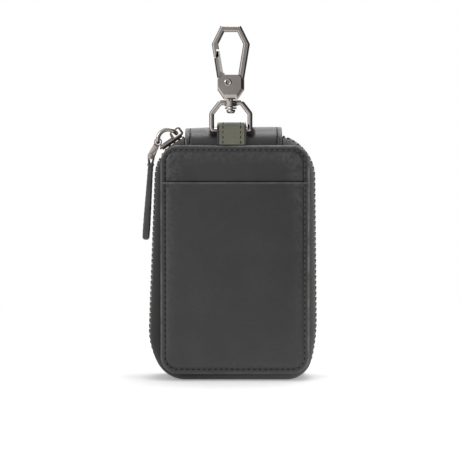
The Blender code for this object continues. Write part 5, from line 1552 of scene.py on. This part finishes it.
def faceted_square(half):
    """A section like the hook's: narrow front and back faces, a low facet and a steep one at each corner."""
    corner = [(half, half - 0.76), (half - 0.30, half - 0.33), (half - 0.80, half)]
    upper = [(-a, b) for a, b in corner[::-1]]
    lower = [(-a, -b) for a, b in corner]
    return corner + upper + lower + [(a, -b) for a, b in corner[::-1]]


def add_turned(shape, profile, centre, axis, sides=32):
    """A turned solid round an axis, from radius and height pairs that close on the axis or on themselves."""
    along = Vector(axis).normalized()
    first = along.orthogonal().normalized()
    second = along.cross(first)
    rows = []
    for radius, height in profile:
        middle = Vector(centre) + along * height
        if radius == 0:
            rows.append([shape.verts.new(middle)] * sides)
            continue
        turns = [math.tau * side / sides for side in range(sides)]
        rows.append(
            [shape.verts.new(middle + (first * math.cos(t) + second * math.sin(t)) * radius) for t in turns]
        )
    pairs = list(zip(rows, rows[1:]))
    if profile[0][0] > 0:
        pairs.append((rows[-1], rows[0]))
    for near, far in pairs:
        for side in range(sides):
            following = (side + 1) % sides
            corners = list(dict.fromkeys([near[side], near[following], far[following], far[side]]))
            if len(corners) > 2:
                shape.faces.new(corners)


# %% Eye
eye_low, eye_high = (to_case(corner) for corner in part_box("swivel_eye"))
EYE_X, EYE_Y, EYE_Z = (eye_low.x + eye_high.x) / 2, eye_bar.x, eye_bar.y
EYE_HEIGHT, EYE_ROUND, EYE_HALF, EYE_SIDE, EYE_SHOULDER, EYE_TOP_HALF = 12.0, 1.3, 1.08, 8.35, 7.3, 4.7
HUB_TOP = EYE_Z + EYE_HEIGHT + 1.1
HUB = [
    (1.3, -2.7), (2.5, -2.7), (3.0, -2.35), (3.0, -1.75), (2.6, -1.6), (2.6, -1.1), (3.0, -0.95),
    (3.0, -0.35),
    (2.5, 0), (1.3, 0),
]
eye_corners = [
    (-EYE_SIDE, 0), (EYE_SIDE, 0), (EYE_SIDE, EYE_SHOULDER), (EYE_TOP_HALF, EYE_HEIGHT),
    (-EYE_TOP_HALF, EYE_HEIGHT), (-EYE_SIDE, EYE_SHOULDER),
]
eye_path = [Vector((EYE_X + x, EYE_Y, EYE_Z + z)) for x, z in round_corners(eye_corners, EYE_ROUND)]
shape = bmesh.new()
sweep_bar(shape, eye_path, [Vector((0, 1, 0))] * len(eye_path), faceted_square(EYE_HALF))
add_turned(shape, HUB, (EYE_X, EYE_Y, HUB_TOP), (0, 0, 1))
finish_piece("metal_swivel_eye", shape, [gunmetal], "eye", ["swivel_eye"], 15)

# %% [markdown]
# Softening the machined pieces
#
# The post, the slider's plates, the clasp, the stops and the key hardware already have the right shape as
# solids, but a real casting is never knife-sharp. The helper copies a solid's mesh, joins its loose
# triangles, merges flat ones into whole faces and rounds the edges with a narrow bevel that keeps the flat
# faces flat. The gate's spring is already round wire, so it stays as the solid it is and only gets its
# finish.

# %% Soften
def soften(width, finish, body, *nodes):
    """Copies of CAD nodes with their edges rounded."""
    for node in nodes:
        shape = bmesh.new()
        shape.from_mesh(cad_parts[node].data)
        bmesh.ops.remove_doubles(shape, verts=shape.verts, dist=3e-6)
        bmesh.ops.dissolve_limit(shape, angle_limit=math.radians(1.0), verts=shape.verts, edges=shape.edges)
        bmesh.ops.recalc_face_normals(shape, faces=shape.faces)
        round_edges(f"metal_{node}", shape, width, finish, body, node, 24)


def round_edges(name, shape, width, finish, body, node, least_degrees):
    """A shape in the frame with its edges rounded by a bevel, which is applied."""
    for face in shape.faces:
        face.smooth = True
    holder = add_object(f"{name}_sharp", to_mesh(f"{name}_sharp", shape))
    bevel = holder.modifiers.new("rounding", "BEVEL")
    bevel.width = width * MM
    bevel.segments = 2
    bevel.limit_method = "ANGLE"
    bevel.angle_limit = math.radians(least_degrees)
    bevel.harden_normals = True
    result = applied_mesh(holder, name)
    bpy.data.objects.remove(holder)
    dress_mesh(name, result, [finish], body, [node], 0)


soften(0.14, gunmetal, "hook", "swivel_post", "swivel_washer")
soften(0.14, zip_metal, "slider", "slider_top", "slider_inner")
soften(0.14, gunmetal, "clasp", "pull_clasp")
soften(0.08, gunmetal, "clasp", "clasp_pin")
soften(0.12, zip_metal, "case_back", "back_stop_left", "back_stop_right")
soften(0.12, zip_metal, "front_cover", "front_stop_left", "front_stop_right")
soften(0.12, nickel_steel, "case_back", "key_plate", "plate_rivet_left", "plate_rivet_right")
soften(0.12, nickel_steel, "case_back", *(f"key_stud_{index}" for index in range(1, 5)))
for index in range(1, 5):
    soften(0.16, nickel_steel, f"key_hook_body_{index}", f"key_hook_{index}")
    soften(0.04, nickel_steel, f"key_hook_body_{index}", f"key_leaf_{index}")
spring_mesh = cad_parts["gate_spring"].data
spring_mesh.materials.clear()
spring_mesh.materials.append(nickel_steel)

# %% [markdown]
# The snap hook
#
# The real hook is a zinc casting: a six-cornered hoop with a flat face and a facet along each side, on a
# thicker base whose lower and right facets are wide. The base is two cheeks and a core, with room for the
# gate's heel between them. Each flat part is one outline, cut back by its own amount along each edge, so
# the facets meet in sharp mitres.

# %% Faceted plates
HOOK_BASE = Vector((EYE_X, EYE_Y, HUB_TOP + 0.3))
BAR, RIM_SHARE, RIM_DEPTH = 2.9, 0.4, 0.45


def cut_back(outline, amounts):
    """The outline moved inward by its own amount along each edge; edge i runs from corner i to the next."""
    count = len(outline)
    corners = [Vector(corner) for corner in outline]
    area = sum(corners[i - 1].cross(corners[i]) for i in range(count))
    lines = []
    for i in range(count):
        along = (corners[(i + 1) % count] - corners[i]).normalized()
        inward = Vector((-along.y, along.x)) * math.copysign(1, area)
        lines.append((corners[i] + inward * amounts[i], along))
    result = []
    for i in range(count):
        (first, first_way), (second, second_way) = lines[i - 1], lines[i]
        share = (second - first).cross(second_way) / first_way.cross(second_way)
        result.append(tuple(first + first_way * share))
    return result


def add_facets(shape, outline, amounts, near, far, depth, both=True):
    """A flat part between two depths, with facets toward its far face, and toward its near one if both."""
    face, rim = cut_back(outline, amounts), cut_back(outline, [amount * RIM_SHARE for amount in amounts])
    step = math.copysign(depth, far - near)
    levels = [(outline, near), (outline, far - step), (rim, far - step * RIM_DEPTH), (face, far)]
    if both:
        levels = [(face, near), (rim, near + step * RIM_DEPTH), (outline, near + step)] + levels[1:]
    skin_levels(shape, levels)


def skin_levels(shape, levels):
    """A skin over outlines of the hook, each at its own depth."""
    skin_rings(shape, [[HOOK_BASE + Vector((x, depth, z)) for x, z in outline] for outline, depth in levels])


def hook_side(height, inset=0.0):
    """Half the hook's width at a height over its base: it widens from the base to the upper corners."""
    return 5.85 + (height - 9.0) / 15.1 * 2.45 - inset


def round_points(middle_x, middle_z, radius, turns):
    """Points of a circle seen from the front, one for each turn."""
    return [(middle_x + radius * math.cos(turn), middle_z + radius * math.sin(turn)) for turn in turns]


def finish_hook_part(name, shape, width, body, node):
    """Millimetres to the frame, then rounded edges."""
    turn_into_frame(shape)
    round_edges(name, shape, width, gunmetal, body, node, 12)


# %% Hoop and base
LAP_BASE, LAP_TOP, LAP_INSET = 19.2, 21.8, 1.6
HOOP_DEPTH, CHEEK_INNER, CHEEK_OUTER, CORE_DEPTH, NO_FACET = 1.7, 1.45, 2.5, 1.5, 0.02
GATE_X, GATE_Z, HEEL_ROOM = -1.25, 7.5, 3.0
hoop = [
    (hook_side(7.55), 7.55), (8.3, 24.1), (4.3, 32.2), (-4.3, 32.2), (-8.3, 24.1), (-hook_side(18.2), 18.2),
    (-hook_side(LAP_BASE, LAP_INSET), LAP_BASE), (-hook_side(LAP_TOP, LAP_INSET), LAP_TOP),
    (-hook_side(LAP_TOP, BAR), LAP_TOP), (-5.4, 24.1), (-2.85, 29.3), (2.85, 29.3), (5.4, 24.1),
    (hook_side(7.55, BAR), 7.55),
]
hoop_cuts = [0.75, 0.75, 0.7, 0.75, 0.75, 0.25, 0.2, 0.2, 0.35, 0.75, 0.75, 0.75, 0.75, 0.2]
foot = [(-3.0, 0), (3.0, 0), (5.85, 4.2), (5.85, 9.0), (3.7, 11.1)]
base = foot + [(-3.7, 11.1), (-5.85, 9.0), (-5.85, 4.2)]
base_cuts = [2.2, 1.6, 1.45, 0.5, 0.25, 0.3, 0.3, 1.1]
heel_turns = [-math.pi * turn / 8 for turn in range(1, 9)]
core = foot + [(0.25, 11.1), (1.75, 9.0), (1.75, GATE_Z)]
core += round_points(GATE_X, GATE_Z, HEEL_ROOM, heel_turns) + [(-5.85, 8.9), (-5.85, 4.2)]
shape = bmesh.new()
add_facets(shape, hoop, hoop_cuts, -HOOP_DEPTH, HOOP_DEPTH, 0.75)
for side in (-1, 1):
    add_facets(shape, base, base_cuts, side * CHEEK_INNER, side * CHEEK_OUTER, 1.04, both=False)
add_facets(shape, core, [NO_FACET] * len(core), -CORE_DEPTH, CORE_DEPTH, NO_FACET)
finish_hook_part("metal_hook_body", shape, 0.07, "hook", "hook_body")

# %% Gate and pin
GATE_SIDES, GATE_EYE, GATE_INSET, TAIL_NEAR, TAIL_FAR = 24, 2.4, 1.9, -1.25, 0.25
TIP, STEP_TOP, STEP_BASE = LAP_TOP - 0.6, 18.9, 17.9
arm = [
    (-5.93, 9.36), (-3.36, 11.86), (-hook_side(TIP, BAR), TIP), (-hook_side(TIP, GATE_INSET), TIP),
    (-hook_side(STEP_TOP, GATE_INSET), STEP_TOP), (-hook_side(STEP_BASE), STEP_BASE),
]
arm_waist, arm_face = cut_back(arm, [0, 0.95, 0, 0, 0, 0]), cut_back(arm, [0.2, 1.2, 0.3, 0.3, 0.3, 0.6])
tail = [(0.67, 8.94), (-3.3, 11.75), (-5.0, 12.5), (-5.85, 9.55), (-3.85, 7.75)]
eye_ring = round_points(
    GATE_X, GATE_Z, GATE_EYE, [math.tau * turn / GATE_SIDES for turn in range(GATE_SIDES)],
)
shape = bmesh.new()
skin_levels(shape, [(arm, HOOP_DEPTH), (arm_waist, -1.0), (arm_face, -HOOP_DEPTH)])
for outline, facet in ((tail, NO_FACET), (eye_ring, 0.15)):
    add_facets(shape, outline, [facet] * len(outline), TAIL_NEAR, TAIL_FAR, facet)
finish_hook_part("metal_gate", shape, 0.06, "gate_arm", "gate")

# The pin's head as radius and height over the hook's cheek, from the dimple's middle to the rim.
HEAD = [
    (0, -1.0), (0.50, -1.0), (0.62, 0.05), (0.85, 0.40), (1.15, 0.50), (1.45, 0.40), (1.62, 0.15),
    (1.62, -0.30),
    (1.75, -0.30), (1.75, 0.0),
]
CHEEK_FACE, PIN_RADIUS = 2.8, 1.0
front_head, back_head = ([(radius, side * (CHEEK_FACE + rise)) for radius, rise in HEAD] for side in (-1, 1))
profile = front_head + [(PIN_RADIUS, -CHEEK_FACE), (PIN_RADIUS, CHEEK_FACE)] + back_head[::-1]
shape = bmesh.new()
add_turned(shape, profile, HOOK_BASE + Vector((GATE_X, 0, GATE_Z)), (0, 1, 0), 40)
finish_piece("metal_gate_pin", shape, [gunmetal], "hook", ["gate_pin"], 35)

# %% [markdown]
# The slider's back and the link
#
# The slider's outer plate carries a plated back, a small block with rounded corners that the light catches.
# The link is a closed loop of flattened wire, bent to an arch. Two straight wires run side by side along
# the arch, and two short bars join them, one under the slider's crown and one in the clasp.

# %% The slider's back
SLIDER_OUT = way_at(SLIDER_TURN)
SLIDER_MOUTHWARD = Vector((SLIDER_OUT.z, 0, -SLIDER_OUT.x))
slider_middle = Vector((-TOP_ARC_X, 0, TOP_ARC_Z)) + SLIDER_OUT * TOP_ARC
SLIDER_REAR, SLIDER_FRONT, SLIDER_HALF, SLIDER_CORNER = -6.1, 0.5, 1.7, 0.5


def on_slider(along, out, across=0.0):
    """A place on the slider, from its middle on the zip's line."""
    return slider_middle + SLIDER_MOUTHWARD * along + SLIDER_OUT * out + Vector((0, across, 0))


def rectangle(start, end, half):
    """The corners of a rectangle, from start to end along and half a width to each side."""
    return [(start, -half), (end, -half), (end, half), (start, half)]


rings = []
for inset, out in ((0.0, 1.9), (0.0, 2.75), (0.35, 3.1)):
    block = rectangle(SLIDER_REAR + inset, SLIDER_FRONT - inset, SLIDER_HALF - inset)
    rings.append([on_slider(along, out, across) for along, across in round_corners(block, SLIDER_CORNER)])
shape = bmesh.new()
skin_rings(shape, rings)
finish_piece("metal_slider_back", shape, [gunmetal], "slider", ["slider_top"], 30)

# %% Link
LINK_RADIUS, LINK_HALF, LINK_CORNER, LINK_STEPS, LINK_SIDES, LINK_WIRE = 4.6, 3.1, 1.8, 20, 16, 0.94
LINK_SQUARENESS = 0.72
link_start, link_end = on_slider(3.1, 3.55), on_slider(-5.7, 4.9)
chord = link_end - link_start
square = Vector((-chord.z, 0, chord.x)).normalized()
arch_centre = (link_start + link_end) / 2 + square * math.sqrt(LINK_RADIUS**2 - (chord.length / 2) ** 2)
first_turn = math.atan2(link_start.z - arch_centre.z, link_start.x - arch_centre.x)
last_turn = math.atan2(link_end.z - arch_centre.z, link_end.x - arch_centre.x) % math.tau
arch_length = LINK_RADIUS * (last_turn - first_turn)


def flattened(turn, power):
    """A place on a circle pressed toward a square, as across and up."""
    return tuple(math.copysign(abs(v) ** power, v) for v in (math.cos(turn), math.sin(turn)))


corners = round_corners(rectangle(0, arch_length, LINK_HALF), LINK_CORNER)
flat_path = []
for corner, following in zip(corners, corners[1:] + corners[:1]):
    count = LINK_STEPS if abs(following.x - corner.x) > 3 else 1
    flat_path += [corner.lerp(following, step / count) for step in range(count)]
link_normals = [way_at(first_turn + along / LINK_RADIUS) for along, across in flat_path]
link_points = [
    arch_centre + out * LINK_RADIUS + Vector((0, across, 0))
    for out, (along, across) in zip(link_normals, flat_path)
]
wire = [flattened(math.tau * side / LINK_SIDES, LINK_SQUARENESS) for side in range(LINK_SIDES)]
shape = bmesh.new()
sweep_bar(shape, link_points, link_normals, [(a * LINK_WIRE, b * LINK_WIRE) for a, b in wire])
finish_piece("metal_pull_link", shape, [gunmetal], "link", ["pull_link"], 50)

# %% [markdown]
# The leather pull
#
# The pull is a strip of leather folded round the clasp's pin, glued and sewn to itself. Seen from the front
# it shows its painted edge, with a fine line between the two layers. Above the keeper the layers part round
# the pin and leave a small opening. The body is a loft of rounded sections that widens toward its round
# end.

# %% Pull
PULL_LENGTH, PULL_WIDTH, LOOP_HALF, PULL_SIDES, KEEPER_SIDES = 37.2, 8.0, 2.75, 44, 28
pin_low, pin_high = (to_case(corner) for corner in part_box("clasp_pin"))
pull_pivot = Vector(((pin_low.x + pin_high.x) / 2, 0, (pin_low.z + pin_high.z) / 2))
pull_down = Vector((-2.5, 0, -PULL_LENGTH)).normalized()
pull_aside = Vector((-pull_down.z, 0, pull_down.x))


def on_pull(along, aside, across):
    """A place on the pull: down from the pin, out to its right, and across."""
    return pull_pivot + pull_down * along + pull_aside * aside + Vector((0, across, 0))


def pull_half_thick(along):
    """Half the pull's thickness, which grows toward its round end."""
    return 1.14 + 0.42 * smooth_share(along, 4, 33)


def pull_section(along):
    """A rounded section of the pull's body: its two layers with a fine groove between their painted edges."""
    to_end = PULL_LENGTH - along
    half_width = PULL_WIDTH / 2 - rounded_drop(to_end, 3.2) - 0.9 * (1 - smooth_share(along, 3.4, 5.6))
    half_thick = max(pull_half_thick(along) - rounded_drop(to_end, 1.3), 0.12)
    corner = min(0.75, half_thick * 0.85)
    flat, points = half_width - corner, []
    for index in range(PULL_SIDES):
        turn = math.tau * (index + 0.5) / PULL_SIDES
        a, b = math.cos(turn), math.sin(turn)
        aside = math.copysign(min(half_thick, half_thick * abs(a) ** 0.55), a)
        across = math.copysign(flat + corner * abs(b) ** 0.8, b) if abs(b) > 0.35 else flat * b / 0.35
        groove = 0.13 * math.exp(-(aside / 0.16) ** 2) if abs(b) > 0.6 else 0.0
        points.append(on_pull(along, aside, across - math.copysign(groove, across)))
    return points


stations = [3.4, 3.5, 3.7, 4.0, 4.6, 5.4, 6.4] + [8 + 2.4 * step for step in range(11)]
stations += [33.2, 34.2, 35.0, 35.6, 36.1, 36.5, 36.8, 37.0, 37.12, 37.17]
shape = bmesh.new()
skin_rings(shape, [pull_section(along) for along in stations])

# The loop round the pin: how far along, and the outer and inner faces' places to one side.
LOOP_SIDE = [
    (4.6, 1.12, 0.12), (3.9, 1.12, 0.14), (3.2, 1.16, 0.22), (2.4, 1.26, 0.42), (1.5, 1.42, 0.66),
    (0.8, 1.53, 0.82),
]
LOOP_RIM = [
    (0.0, -0.86), (0.0, 0.86), (0.15, 1.0), (0.85, 1.0), (1.0, 0.86), (1.0, -0.86), (0.85, -1.0),
    (0.15, -1.0),
]
LOOP_TOP, LOOP_OUTER, LOOP_INNER = 1.568, 1.56, 0.92
loop = [((along, outer), (along, inner)) for along, outer, inner in LOOP_SIDE]
for step in range(13):
    turn = math.pi * step / 12
    outer = (-LOOP_TOP * math.sin(turn), LOOP_OUTER * math.cos(turn))
    loop.append((outer, (-LOOP_INNER * math.sin(turn), LOOP_INNER * math.cos(turn))))
loop += [((along, -outer), (along, -inner)) for along, outer, inner in LOOP_SIDE[::-1]]
skin_rings(shape, [
    [on_pull(*Vector(outer).lerp(Vector(inner), share), across * LOOP_HALF) for share, across in LOOP_RIM]
    for outer, inner in loop
])
paint(shape, edge=lambda point: 0.35)
finish_piece("leather_zip_pull", shape, [dark_leather], "pull", ["leather_pull"], 50)

# %% Keeper and seam of the pull
rings = []
for along, grow in ((3.35, -0.12), (3.45, 0.0), (4.35, 0.0), (4.45, -0.12)):
    turns = [math.tau * (index + 0.5) / KEEPER_SIDES for index in range(KEEPER_SIDES)]
    corners = [
        (flattened(turn, 0.5)[0] * (1.48 + grow), flattened(turn, 0.4)[1] * (3.55 + grow)) for turn in turns
    ]
    rings.append([on_pull(along, aside, across) for aside, across in corners])
shape = bmesh.new()
skin_rings(shape, rings)
paint(shape, edge=lambda point: 0.5)
finish_piece("pull_keeper", shape, [dark_leather], "pull", (), 50)

rows = []
seam_places = [6.4 + 26.5 * step / 29 for step in range(30)]
for side in (-1, 1):
    for across in (-2.5, 2.5):
        points = [on_pull(along, side * (pull_half_thick(along) + 0.02), across) for along in seam_places]
        rows.append((points, [tuple(pull_aside * side)] * len(points)))
sew("pull_seam", rows, 2.4, "pull", length=1.6, radius=0.15, rise=0.10)
